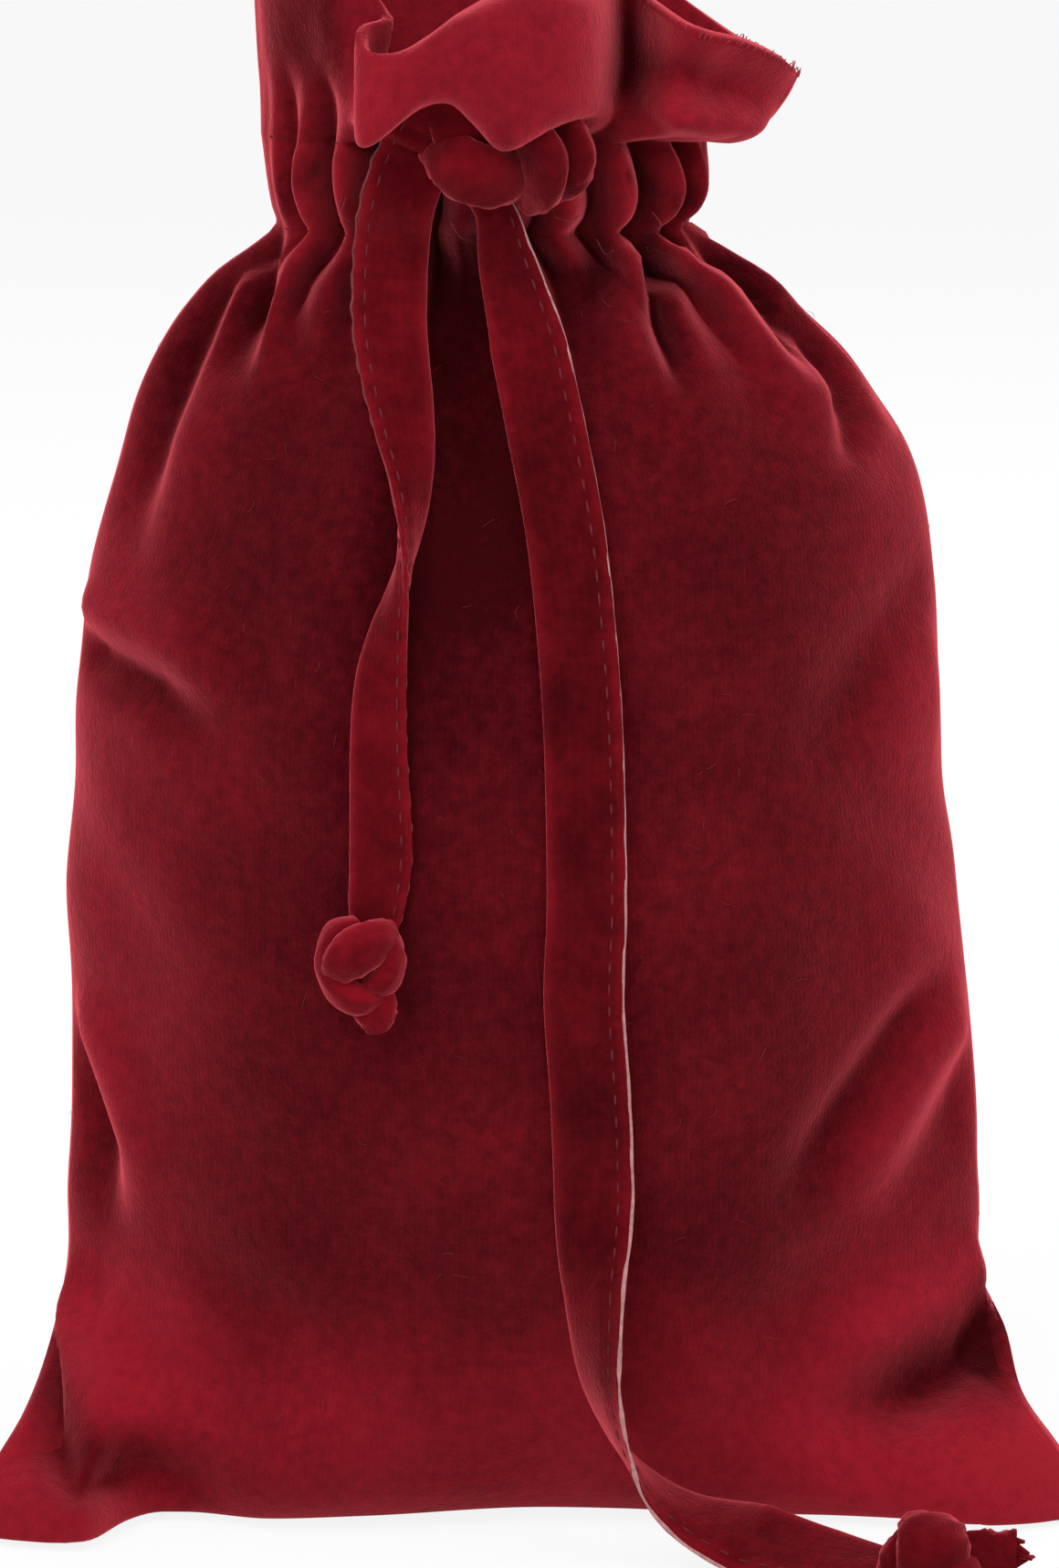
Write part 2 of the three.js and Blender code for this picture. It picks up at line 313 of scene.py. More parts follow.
def quads(index: Array) -> list[list[int]]:
    """Faces of a grid of vertex numbers.

    Args:
        index: Vertex numbers by row and column.

    Returns:
        Four vertex numbers for each face.
    """
    low, low_ahead = index[:-1, :-1], index[:-1, 1:]
    high, high_ahead = index[1:, :-1], index[1:, 1:]
    return np.stack([low, low_ahead, high_ahead, high], axis=-1).reshape(-1, 4).tolist()


def swept(rings: Array) -> Skin:
    """Closed skin through rings of points, its two ends capped.

    Args:
        rings: Points, by ring and by place round the ring.

    Returns:
        Vertices and faces.
    """
    count, around = rings.shape[:2]
    points = np.vstack([rings.reshape(-1, 3), rings[0].mean(0), rings[-1].mean(0)])
    faces = []
    for ring in range(count - 1):
        for step in range(around):
            ahead = (step + 1) % around
            low, high = ring * around, (ring + 1) * around
            faces.append([low + step, low + ahead, high + ahead, high + step])
    foot, head = count * around, count * around + 1
    last = (count - 1) * around
    for step in range(around):
        ahead = (step + 1) % around
        faces.append([foot, ahead, step])
        faces.append([head, last + step, last + ahead])
    return points, faces


def merged(parts: Sequence[Skin]) -> Skin:
    """Several skins as one.

    Args:
        parts: Vertices and faces of each.

    Returns:
        Vertices and faces of all.
    """
    points, faces, start = [], [], 0
    for part_points, part_faces in parts:
        points.append(part_points)
        faces.extend([[start + corner for corner in face] for face in part_faces])
        start += len(part_points)
    return np.vstack(points), faces


class Graph:
    """Shader nodes of a material or of the world."""

    def __init__(self, owner: Any) -> None:
        """Turns the owner's nodes on."""
        owner.use_nodes = True
        self.tree: bpy.types.NodeTree = owner.node_tree

    def add(
        self,
        kind: str,
        settings: Optional[dict[str, Any]] = None,
        inputs: Optional[dict[Any, Any]] = None,
        output: Any = 0,
    ) -> "Signal":
        """Adds a node.

        Args:
            kind: Type of the node.
            settings: The node's own settings, which are set first.
            inputs: Value or link of each socket.
            output: Socket that is returned.

        Returns:
            The node's output.
        """
        made = self.tree.nodes.new(kind)
        for name, value in (settings or {}).items():
            setattr(made, name, value)
        self.fill(made, inputs or {})
        return Signal(self, made.outputs[output])

    def fill(self, target: bpy.types.Node, inputs: dict[Any, Any]) -> None:
        """Sets or links sockets of a node.

        Args:
            target: The node.
            inputs: Value or link of each socket.
        """
        for name, value in inputs.items():
            if isinstance(value, Signal):
                self.tree.links.new(value.socket, target.inputs[name])
            else:
                target.inputs[name].default_value = value

    def shade(self, inputs: dict[str, Any]) -> None:
        """Sets or links sockets of the material's own shader."""
        self.fill(self.tree.nodes["Principled BSDF"], inputs)

    def noise(self, scale: float, detail: float, rough: float) -> "Signal":
        """Noise over the piece.

        Args:
            scale: Scale of the noise.
            detail: How many finer layers it has.
            rough: How strong the finer layers are.

        Returns:
            The noise, 0 to 1.
        """
        place = self.add("ShaderNodeTexCoord", output="Object")
        inputs = {"Vector": place, "Scale": scale, "Detail": detail, "Roughness": rough}
        return self.add("ShaderNodeTexNoise", None, inputs, "Fac")

    def blend(self, share: "Signal", first: Colour, second: Colour) -> "Signal":
        """A colour between two.

        Args:
            share: How much of the second colour it has.
            first: Colour at 0.
            second: Colour at 1.

        Returns:
            The colour.
        """
        inputs = {0: share, 6: (*first, 1.0), 7: (*second, 1.0)}
        return self.add("ShaderNodeMix", {"data_type": "RGBA"}, inputs, 2)


class Signal:
    """Output of a shader node, with arithmetic that adds Math nodes."""

    def __init__(self, graph: Graph, socket: bpy.types.NodeSocket) -> None:
        """Keeps the socket and the nodes it is among."""
        self.graph = graph
        self.socket = socket

    def _math(self, operation: str, first: Any, second: Any) -> "Signal":
        """Math node of two values or links."""
        return self.graph.add("ShaderNodeMath", {"operation": operation}, {0: first, 1: second})

    def __add__(self, other: Any) -> "Signal":
        """Sum."""
        return self._math("ADD", self, other)

    __radd__ = __add__

    def __mul__(self, other: Any) -> "Signal":
        """Product."""
        return self._math("MULTIPLY", self, other)

    __rmul__ = __mul__

    def __sub__(self, other: Any) -> "Signal":
        """Difference."""
        return self._math("SUBTRACT", self, other)

    def __rsub__(self, other: Any) -> "Signal":
        """Difference the other way round."""
        return self._math("SUBTRACT", other, self)

    def __pow__(self, other: Any) -> "Signal":
        """Power."""
        return self._math("POWER", self, other)


@dataclass(frozen=True)
class VelvetFinish:
    """Cut-pile velvet: its base colour runs from deep to light by the painted light and shade stored on the mesh,
    mixed with random tone, and the shader's sheen brightens it where it is seen edge-on.
    """

    name: str
    deep: Colour
    light: Colour
    # Shift of the whole piece along the scale of painted light and tone.
    nap: float = 0.0
    upright: float = 0.37
    contrast: float = 1.35
    sheen: float = 1.0
    sheen_roughness: float = 0.46
    sheen_tint: Colour = (1.0, 0.14, 0.18)
    crush_scale: float = 34.0
    crush: float = 0.9
    tuft_scale: float = 520.0
    fibre_scale: float = 2600.0
    tuft_weight: float = 0.5
    fibre_weight: float = 0.2
    row_scale: float = 380.0
    row_weight: float = 0.04
    roughness: float = 0.8
    pile_height: float = 0.0007
    pile_relief: float = 0.35

    def material(self) -> bpy.types.Material:
        """Builds the velvet.

        Returns:
            The material.
        """
        made = bpy.data.materials.new(self.name)
        graph = Graph(made)
        crush = graph.noise(self.crush_scale, 3.0, 0.55)
        tuft = graph.noise(self.tuft_scale, 2.0, 0.6)
        fibre = graph.noise(self.fibre_scale, 1.0, 0.5)
        cloth = graph.add("ShaderNodeTexCoord", output="UV")
        weave = {"Vector": cloth, "Scale": self.row_scale, "Distortion": 2.5, "Detail": 2.0}
        rows = graph.add("ShaderNodeTexWave", {"bands_direction": "X"}, weave, "Fac") * self.row_weight
        # Painted light and shade stored on the mesh, with crush, tufts, fibres and rows added as random tone.
        painted_light_attribute = graph.add("ShaderNodeAttribute", {"attribute_name": PAINTED_LIGHT_NAME}, output="Fac")
        tone_and_painted_light = painted_light_attribute + (crush - 0.5) * self.crush + tuft * self.tuft_weight + fibre * self.fibre_weight + rows
        shown = graph.add("ShaderNodeClamp", None, {"Value": tone_and_painted_light - (self.upright - self.nap)}) ** self.contrast
        height = tuft * 0.6 + fibre * 0.4 + rows
        relief = {"Strength": self.pile_relief, "Distance": self.pile_height, "Height": height}
        graph.shade(
            {
                "Base Color": graph.blend(shown, self.deep, self.light),
                "Roughness": self.roughness + tuft * (1 - self.roughness),
                "Normal": graph.add("ShaderNodeBump", None, relief),
                "Specular IOR Level": 0.0,
                "Sheen Weight": self.sheen,
                "Sheen Roughness": self.sheen_roughness,
                "Sheen Tint": (*self.sheen_tint, 1.0),
            }
        )
        return made


@dataclass(frozen=True)
class ThreadFinish:
    """Spun thread or cut ground weave: matt, fibrous, a little uneven in colour."""

    name: str
    dark: Colour
    pale: Colour
    spun_scale: float = 900.0
    spun_height: float = 0.0002
    spun_relief: float = 0.5
    roughness: float = 0.7
    gloss: float = 0.15

    def material(self) -> bpy.types.Material:
        """Builds the thread.

        Returns:
            The material.
        """
        made = bpy.data.materials.new(self.name)
        graph = Graph(made)
        spun = graph.noise(self.spun_scale, 2.0, 0.6)
        relief = {"Strength": self.spun_relief, "Distance": self.spun_height, "Height": spun}
        graph.shade(
            {
                "Base Color": graph.blend(spun, self.dark, self.pale),
                "Roughness": self.roughness + spun * 0.25,
                "Normal": graph.add("ShaderNodeBump", None, relief),
                "Specular IOR Level": self.gloss,
            }
        )
        return made


@dataclass(frozen=True)
class FloorFinish:
    """Plain white studio floor that keeps the shadow of what stands on it."""

    name: str = "studio_white"
    colour: Colour = (0.9, 0.9, 0.9)
    glow: float = 0.88

    def material(self) -> bpy.types.Material:
        """Builds the floor's white.

        Returns:
            The material.
        """
        made = bpy.data.materials.new(self.name)
        graph = Graph(made)
        graph.shade({"Base Color": (*self.colour, 1.0), "Roughness": 0.9, "Specular IOR Level": 0.1})
        lit = Signal(graph, graph.tree.nodes["Principled BSDF"].outputs[0])
        seen = graph.add("ShaderNodeLightPath", output="Is Camera Ray")
        white = graph.add("ShaderNodeEmission", None, {"Color": (1.0, 1.0, 1.0, 1.0), "Strength": 1.0})
        mixed = graph.add("ShaderNodeMixShader", None, {0: seen * self.glow, 1: lit, 2: white})
        graph.fill(graph.tree.nodes["Material Output"], {"Surface": mixed})
        return made


Finish = Union[VelvetFinish, ThreadFinish, FloorFinish]

VELVET = VelvetFinish("crimson_velvet", (0.022, 0.0005, 0.0012), (0.250, 0.0086, 0.0170), crush=0.62)
TAPE_VELVET = VelvetFinish(
    "crimson_ribbon", (0.024, 0.0004, 0.0011), (0.190, 0.0044, 0.0100), nap=0.37, crush_scale=90.0
)
RAW_EDGE = ThreadFinish("raw_edge", (0.18, 0.045, 0.047), (0.62, 0.32, 0.31))
# Darker cut edge, used along the left ribbon.
DARK_CUT_EDGE = ThreadFinish("worn_edge", (0.09, 0.009, 0.011), (0.24, 0.055, 0.06))
SEWING = ThreadFinish("sewing_thread", (0.07, 0.004, 0.007), (0.16, 0.022, 0.028))
CASING_THREAD = ThreadFinish("casing_thread", (0.05, 0.0016, 0.003), (0.13, 0.011, 0.016))
LINT = ThreadFinish("stray_fibre", (0.10, 0.006, 0.010), (0.24, 0.045, 0.048))
FRAY = ThreadFinish("frayed_pile", (0.2, 0.012, 0.022), (0.42, 0.05, 0.065))


class Slot(Enum):
    """Material slots of the record."""

    VELVET = "velvet"
    RIBBON = "ribbon"


class Wardrobe:
    """One material for each finish, made when first asked for."""

    def __init__(self) -> None:
        """Starts empty."""
        self._made: dict[str, bpy.types.Material] = {}

    def material(self, finish: Finish) -> bpy.types.Material:
        """The material of a finish.

        Args:
            finish: The finish.

        Returns:
            Its material.
        """
        if finish.name not in self._made:
            self._made[finish.name] = finish.material()
        return self._made[finish.name]


WARDROBE = Wardrobe()


def make_piece(name: str, skin: Skin, uvs: Optional[Array] = None) -> bpy.types.Object:
    """Mesh object at the origin from a skin in millimetres.

    Args:
        name: Name of the object.
        skin: Vertices, in millimetres, and the vertex numbers of each face.
        uvs: Place of each vertex on the flat cloth, in metres.

    Returns:
        The object, shaded smooth.
    """
    points, faces = skin
    mesh = bpy.data.meshes.new(name)
    mesh.from_pydata((points * MM).tolist(), [], [list(map(int, face)) for face in faces])
    mesh.update()
    if uvs is not None:
        layer = mesh.uv_layers.new(name="cloth")
        corners = np.empty(len(mesh.loops), dtype=np.int32)
        mesh.loops.foreach_get("vertex_index", corners)
        layer.data.foreach_set("uv", uvs[corners].astype(np.float32).ravel())
    mesh.polygons.foreach_set("use_smooth", np.ones(len(mesh.polygons), dtype=bool))
    made = bpy.data.objects.new(name, mesh)
    bpy.context.scene.collection.objects.link(made)
    return made


def store_painted_light(piece: bpy.types.Object, tone_and_painted_light: Array) -> None:
    """Stores painted light and shade, with some random tone, at each vertex of a piece, for the velvet's base
    colour.

    Args:
        piece: The piece.
        tone_and_painted_light: Painted light and shade, with some tone, at each vertex.
    """
    attribute = piece.data.attributes.new(PAINTED_LIGHT_NAME, "FLOAT", "POINT")
    attribute.data.foreach_set("value", tone_and_painted_light.astype(np.float32))


def dress(piece: bpy.types.Object, finish: Finish, slot: Slot, *nodes: str) -> None:
    """Gives a piece its finish and its place in the frame.

    Args:
        piece: The piece.
        finish: Its finish.
        slot: Material slot of the record; not used.
        nodes: CAD nodes that it stands for.
    """
    piece.data.materials.clear()
    piece.data.materials.append(WARDROBE.material(finish))
    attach(piece, "root")
    if nodes:
        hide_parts(*nodes)
    LOG.info("%s: %d faces", piece.name, len(piece.data.polygons))


@dataclass(frozen=True)
class Softbox:
    """Square soft light: its place and size in metres, and its power in watts."""

    name: str
    place: Point
    size: float
    power: float

    def build(self, aim: Vector) -> None:
        """Makes the light.

        Args:
            aim: Place that it points at.
        """
        lamp = bpy.data.lights.new(self.name, "AREA")
        lamp.energy = self.power
        lamp.size = self.size
        made = bpy.data.objects.new(self.name, lamp)
        bpy.context.scene.collection.objects.link(made)
        made.location = self.place
        made.rotation_euler = (aim - made.location).to_track_quat("-Z", "Y").to_euler()


SOFTBOXES = (
    Softbox("key_softbox", (-0.45, -0.75, 1.05), 0.9, 11.0),
    Softbox("fill_softbox", (0.75, -0.45, 0.75), 0.8, 5.0),
    Softbox("rim_softbox", (0.15, 0.8, 0.85), 0.8, 6.0),
)


@dataclass
class Studio:
    """Camera, lights and white floor."""

    photo_height: int = 1717
    pixels_per_mm: float = 7.6
    sensor: float = 36.0
    elevation: float = 11.0
    distance: float = 1.15
    aim: Point = (0.0, 0.0, 0.1038)
    floor_half: float = 4.0
    surround: float = 0.45

    def build(self) -> None:
        """Sets the camera, the lights and the floor."""
        scene = bpy.context.scene
        scene.view_settings.view_transform = "Standard"
        self._camera(scene)
        self._world(scene)
        for softbox in SOFTBOXES:
            softbox.build(Vector(self.aim))
        bpy.ops.object.select_all(action="DESELECT")
        bpy.ops.mesh.primitive_plane_add(size=2 * self.floor_half)
        floor = bpy.context.object
        floor.name = "floor"
        floor.data.materials.append(WARDROBE.material(FloorFinish()))

    def _camera(self, scene: bpy.types.Scene) -> None:
        """Sets the camera at the photograph's angle, framed as the photograph is.

        Args:
            scene: The scene.
        """
        lens = bpy.data.cameras.new("camera")
        camera = bpy.data.objects.new("camera", lens)
        scene.collection.objects.link(camera)
        lens.sensor_fit = "VERTICAL"
        lens.sensor_height = self.sensor
        seen_height = self.photo_height / self.pixels_per_mm * MM
        lens.lens = self.sensor * self.distance / seen_height
        angle = math.radians(self.elevation)
        back = Vector((0.0, -math.cos(angle), math.sin(angle)))
        camera.location = Vector(self.aim) + back * self.distance
        camera.rotation_euler = (-back).to_track_quat("-Z", "Y").to_euler()
        scene.camera = camera

    def _world(self, scene: bpy.types.Scene) -> None:
        """Sets white surroundings, plain as light and white as seen.

        Args:
            scene: The scene.
        """
        scene.world = bpy.data.worlds.new("studio")
        graph = Graph(scene.world)
        seen = graph.add("ShaderNodeLightPath", output="Is Camera Ray")
        strength = self.surround + seen * (1 - self.surround)
        background = {"Color": (1.0, 1.0, 1.0, 1.0), "Strength": strength}
        graph.fill(graph.tree.nodes["Background"], background)


@dataclass(frozen=True)
class Station:
    """Section of the pouch: distance up the flat panel, height, depth, and how pointed its sides are."""

    along: float
    height: float
    depth: float
    point: float


@dataclass(frozen=True)
class Flank:
    """Reach of the pouch to the left and right at a height."""

    height: float
    left: float
    right: float


@dataclass(frozen=True)
class Foot:
    """How far forward the cloth meets the floor at a place across."""

    across: float
    forward: float


@dataclass(frozen=True)
class Rim:
    """Collar at a share of the way across a panel: its foot, its bulging lip, its upper part and its rim."""

    share: float
    foot: Point
    lip: Point
    upper: Point
    rim: Point


@dataclass(frozen=True)
class Pleat:
    """Fold along a line given across and up: a crest, and a valley beside it.

    The valley lies on the right of a line that runs down where side is 1, and on the left where it is -1.
    """

    line: tuple[tuple[float, float], ...]
    width: float
    crest: float
    valley: float = 0.0
    side: int = 1
    valley_place: ClassVar[float] = 1.2
    valley_reach: ClassVar[float] = 0.65
    valley_gain: ClassVar[float] = 1.35
    widening: ClassVar[float] = 0.5
    neck_height: ClassVar[float] = 170.0
    neck_start: ClassVar[Span] = Span(-0.25, 0.15)
    body_start: ClassVar[Span] = Span(0.0, 0.25)
    end: ClassVar[Span] = Span(0.55, 1.0)

    def press(self, x: Array, z: Array) -> Array:
        """How far the pleat moves each point.

        Args:
            x: Places across.
            z: Heights.

        Returns:
            Shift outwards of each point.
        """
        line = np.array(self.line, dtype=float)
        nearest, aside, run = np.full(x.shape, np.inf), np.zeros(x.shape), np.zeros(x.shape)
        before = 0.0
        for start, step in zip(line[:-1], np.diff(line, axis=0)):
            length = float(np.hypot(*step))
            step = step / length
            off_x, off_z = x - start[0], z - start[1]
            held = np.clip(off_x * step[0] + off_z * step[1], 0.0, length)
            far = np.hypot(off_x - held * step[0], off_z - held * step[1])
            closer = far < nearest
            nearest = np.where(closer, far, nearest)
            aside = np.where(closer, np.sign(off_z * step[0] - off_x * step[1]) * far, aside)
            run = np.where(closer, before + held, run)
            before += length
        share = run / before
        come_in = self.neck_start if line[0, 1] > self.neck_height else self.body_start
        strength = come_in.share(share) * (1 - self.end.share(share))
        place = aside / (self.width * (1 + self.widening * share))
        valley = np.exp(-(((place - self.valley_place * self.side) / self.valley_reach) ** 2))
        return strength * (self.crest * np.exp(-(place**2)) - self.valley_gain * self.valley * valley)


class Panel(Enum):
    """The two panels of the pouch."""

    FRONT = "front"
    BACK = "back"


STATIONS = (
    Station(0, 0.9, 0.8, 1.2),
    Station(9, 0.9, 9, 1.0),
    Station(17, 1.2, 17, 0.8),
    Station(24, 4.5, 22.5, 0.9),
    Station(33, 12, 27.5, 1.0),
    Station(45, 23, 32, 0.95),
    Station(60, 37.5, 35.5, 0.85),
    Station(80, 57.3, 38, 0.75),
    Station(100, 77, 39, 0.7),
    Station(120, 97, 38.8, 0.68),
    Station(140, 117, 37.3, 0.65),
    Station(160, 136.6, 34, 0.62),
    Station(175, 150.8, 29.8, 0.6),
    Station(188, 162.5, 25, 0.57),
    Station(198, 171.5, 21.5, 0.55),
    Station(206, 179, 18.8, 0.52),
    Station(212, 185, 17, 0.5),
    Station(225, 198, 17, 0.5),
)
FLANKS = (
    Flank(0, -80, 80),
    Flank(5, -79.2, 78.8),
    Flank(10, -77.6, 75.6),
    Flank(16, -73.6, 70.8),
    Flank(25, -69.7, 68.4),
    Flank(30, -68.4, 65.8),
    Flank(45, -67.2, 65.2),
    Flank(60, -66.5, 64.4),
    Flank(75, -66.3, 63.4),
    Flank(90, -66.5, 62),
    Flank(105, -65.8, 59.5),
    Flank(120, -65, 58.7),
    Flank(135, -63.3, 57.8),
    Flank(150, -58.6, 55.7),
    Flank(160, -55.5, 50.7),
    Flank(167, -51.9, 45.9),
    Flank(173, -48.2, 39.5),
    Flank(178, -43.9, 34.4),
    Flank(182, -38.5, 27.4),
    Flank(185, -36, 22.6),
    Flank(187.5, -36.6, 24.4),
    Flank(198, -38.1, 25.2),
)
FEET = (
    Foot(-80, 32),
    Foot(-73, 36),
    Foot(-67, 37.5),
    Foot(-62, 36),
    Foot(-58, 27),
    Foot(-55, 23),
    Foot(-50, 21.5),
    Foot(-37, 23.5),
    Foot(-24, 23),
    Foot(-10, 21.5),
    Foot(3, 19.5),
    Foot(18, 19.5),
    Foot(32, 21),
    Foot(52, 25),
    Foot(64, 29),
    Foot(72, 27),
    Foot(80, 22),
)
FRONT_RIM = (
    Rim(0.00, (-38.2, 0, 204), (-38.6, 0, 210), (-39.0, 0, 220), (-39.0, 0, 231)),
    Rim(0.10, (-35.2, -7.4, 204), (-36.0, -7.8, 210), (-36.8, -8, 220), (-37.0, -8, 231)),
    Rim(0.18, (-29.6, -13, 204), (-30.2, -14, 210), (-30.8, -15.5, 220), (-31.0, -16, 230)),
    Rim(0.215, (-27.2, -15.5, 203.3), (-27.6, -17, 209.5), (-27.0, -18.5, 218), (-26.4, -18.5, 226)),
    Rim(0.24, (-25.4, -17.6, 202), (-23.8, -20.5, 206), (-20.6, -21, 213), (-19.8, -20.5, 216.6)),
    Rim(0.262, (-24.4, -18.6, 201), (-24.0, -25, 203), (-22.8, -23.2, 212.5), (-22.8, -23, 215.8)),
    Rim(0.285, (-22.6, -19.6, 200.5), (-24.2, -30, 200), (-24.4, -27.5, 211.5), (-24.2, -26.5, 214.6)),
    Rim(0.31, (-20.4, -20.4, 201), (-22.2, -32.5, 199.8), (-22.8, -31, 210), (-22.4, -30.3, 212.6)),
    Rim(0.34, (-18.0, -21, 202), (-17.8, -32.8, 203.2), (-18.2, -32, 210.4), (-18.2, -30.6, 212.4)),
    Rim(0.375, (-14.6, -21.3, 203.4), (-14.4, -32.3, 206), (-14.2, -32, 213.5), (-13.8, -27.5, 214.6)),
    Rim(0.42, (-11.0, -21.5, 203.5), (-10.8, -32.2, 206.4), (-10.8, -32, 216), (-10.2, -22, 216.8)),
    Rim(0.46, (-8.0, -21.5, 202), (-7.6, -32.5, 203.5), (-7.8, -32.5, 217), (-7.0, -20, 218.5)),
    Rim(0.51, (-4.0, -21.5, 200), (-3.8, -33, 199.8), (-4.0, -33, 218), (-3.4, -19, 221)),
    Rim(0.57, (2.4, -21, 201), (2.6, -31.5, 203), (2.6, -31, 219), (3.0, -17, 224)),
    Rim(0.64, (8.6, -20, 202), (8.6, -26, 205), (9.2, -25, 216.5), (9.6, -15, 223)),
    Rim(0.70, (13.2, -18, 201), (13.2, -13, 205.5), (13.4, -10.5, 211.5), (14.4, -11, 219)),
    Rim(0.755, (18.2, -17.5, 199.5), (19.2, -22, 202.5), (19.6, -18, 208.2), (21.2, -22, 215)),
    Rim(0.84, (24.4, -14.5, 198.5), (27.2, -19, 200.8), (26.6, -15.5, 206.4), (30.4, -18.5, 212)),
    Rim(0.92, (27.8, -9.5, 197.5), (32.4, -12.5, 199.5), (32.6, -10.5, 204.2), (36.0, -12, 209)),
    Rim(1.00, (28.5, -2, 196.8), (33.2, -4, 199.5), (36.2, -5, 203.2), (38.0, -6, 206.8)),
)
BACK_RIM = (
    Rim(0.00, (28.5, -2, 196.8), (33.2, -4, 199.5), (36.2, -5, 203.2), (38.0, -6, 206.8)),
    Rim(0.08, (27.6, 4, 198.5), (31.6, 4.4, 201.5), (34.4, 4, 204.8), (35.4, 3, 207.4)),
    Rim(0.18, (24.2, 10.4, 200), (26.8, 11.2, 203.2), (29.4, 11, 207), (30.6, 10.5, 210)),
    Rim(0.30, (17.6, 15.6, 201.5), (19.8, 16.6, 205.5), (22.2, 17, 210), (24.0, 17, 214)),
    Rim(0.50, (2.0, 18, 203.5), (3.0, 19.5, 210.5), (4.4, 21, 219.5), (5.0, 22, 227)),
    Rim(0.70, (-15.6, 17, 204), (-15.0, 18.2, 210), (-14.4, 19.4, 220), (-14.0, 20, 230)),
    Rim(0.86, (-30.4, 11.8, 204), (-30.8, 12.2, 210), (-31.0, 12.5, 220), (-31.0, 12.5, 231)),
    Rim(1.00, (-38.2, 0, 204), (-38.6, 0, 210), (-39.0, 0, 220), (-39.0, 0, 231)),
)
FRONT_PLEATS = (
    Pleat(
        ((-35.5, 187), (-35.9, 184), (-40.4, 176), (-45, 165.5), (-48.7, 155), (-51, 145), (-52.2, 132)),
        3.2,
        1.6,
        2.6,
        -1,
    ),
    Pleat(
        ((-30.6, 190), (-31.2, 186.5), (-33.6, 180), (-35.4, 173), (-36.3, 168), (-37.7, 160)),
        2.8,
        1.8,
        3.6,
        -1,
    ),
    Pleat(((-28.4, 178), (-28, 166)), 3.0, 0.8, 1.2, -1),
    Pleat(((-10.5, 193), (-10.5, 185), (-9.6, 160), (-9, 126)), 6.5, -5.0),
    Pleat(((10.2, 191), (9.6, 184), (8, 172)), 2.2, -2.6),
    Pleat(((13.8, 191), (13.9, 188), (14.7, 173.5), (19, 159)), 2.4, 1.7, 4.2, 1),
    Pleat(((17.0, 189), (20, 183), (24.4, 176)), 2.0, 1.0, 2.2, 1),
    Pleat(((21.5, 186), (23.5, 182), (29, 176), (33.6, 168.5), (40, 158)), 2.8, 1.8, 4.2, 1),
    Pleat(((35.5, 175), (36.8, 173), (40.4, 165), (43, 155)), 2.8, 1.4, 2.6, 1),
    Pleat(((48.4, 165), (49, 162), (51.6, 152)), 2.8, 0.9, 1.3, -1),
    Pleat(((-72, 133), (-64, 131), (-50, 127.5), (-37, 121)), 4.4, 2.2, 2.6, -1),
    Pleat(((-66, 78), (-62, 68), (-57, 54), (-55, 36)), 3.4, 2.4, 2.8, -1),
    Pleat(((67, 78), (61, 69), (50, 53), (40, 37)), 5.2, 2.4, 2.3, -1),
    Pleat(((69, 70), (64, 63), (56, 51), (48, 38)), 4.6, -2.4),
    Pleat(((66, 136), (62, 128), (56, 116), (50, 102)), 7.0, 1.8, 1.4, -1),
    Pleat(((84, 27), (72, 30.5), (64, 31.5), (54, 29), (45, 26.5), (35, 24)), 5.6, 2.4, 4.6, 1),
    Pleat(((-70, 38), (-68.6, 28), (-65, 21), (-60, 17), (-52, 15), (-38, 14)), 4.8, 1.8, 3.4, -1),
    Pleat(((-64, 31), (-52, 28), (-40, 24)), 6.0, 1.3),
)
BACK_PLEATS = (
    Pleat(((-4, 193), (-4, 180), (-3, 136)), 5.5, -3.8),
    Pleat(((-26, 190), (-29, 180), (-37, 158)), 3.0, 1.7, 3.6, -1),
    Pleat(((-15, 190), (-16, 180), (-19, 162)), 2.6, 1.5, 3.2, -1),
    Pleat(((10, 190), (12, 180), (18, 160)), 2.8, 1.6, 3.6, 1),
    Pleat(((19, 188), (25, 178), (36, 158)), 3.0, 1.7, 3.6, 1),
    Pleat(((60, 120), (48, 114), (34, 106)), 4.6, 2.0, 2.4, -1),
    Pleat(((-62, 86), (-52, 74), (-40, 60)), 4.6, 2.2, 2.4, 1),
    Pleat(((42, 28), (56, 26), (68, 22)), 5.5, 1.2, 3.6, -1),
    Pleat(((-70, 22), (-58, 24), (-44, 26)), 5.5, 1.2, 3.4, -1),
)
# Painted shade: darker colour in the two hollows at the foot, the dark hollow at the lower right, the collar's
# pocket and the shadow under the collar's right rim; each line's crest is how much darker.
FRONT_PAINTED_SHADE = (
    Pleat(((-74, 30), (-70, 20), (-66.5, 13.5), (-60, 11), (-52, 11.5), (-42, 13)), 3.8, 0.55),
    Pleat(((67, 36), (67, 30), (67.5, 20), (68, 10)), 3.4, 0.55),
    Pleat(((72, 24), (64, 22), (56, 20.5), (44, 17)), 4.6, 0.34),
    Pleat(((13.6, 220), (13.6, 214), (13.4, 207), (13.4, 198)), 2.8, 0.42),
    Pleat(((12, 207), (17, 209.5), (22, 209), (30, 204)), 2.2, 0.28),
)


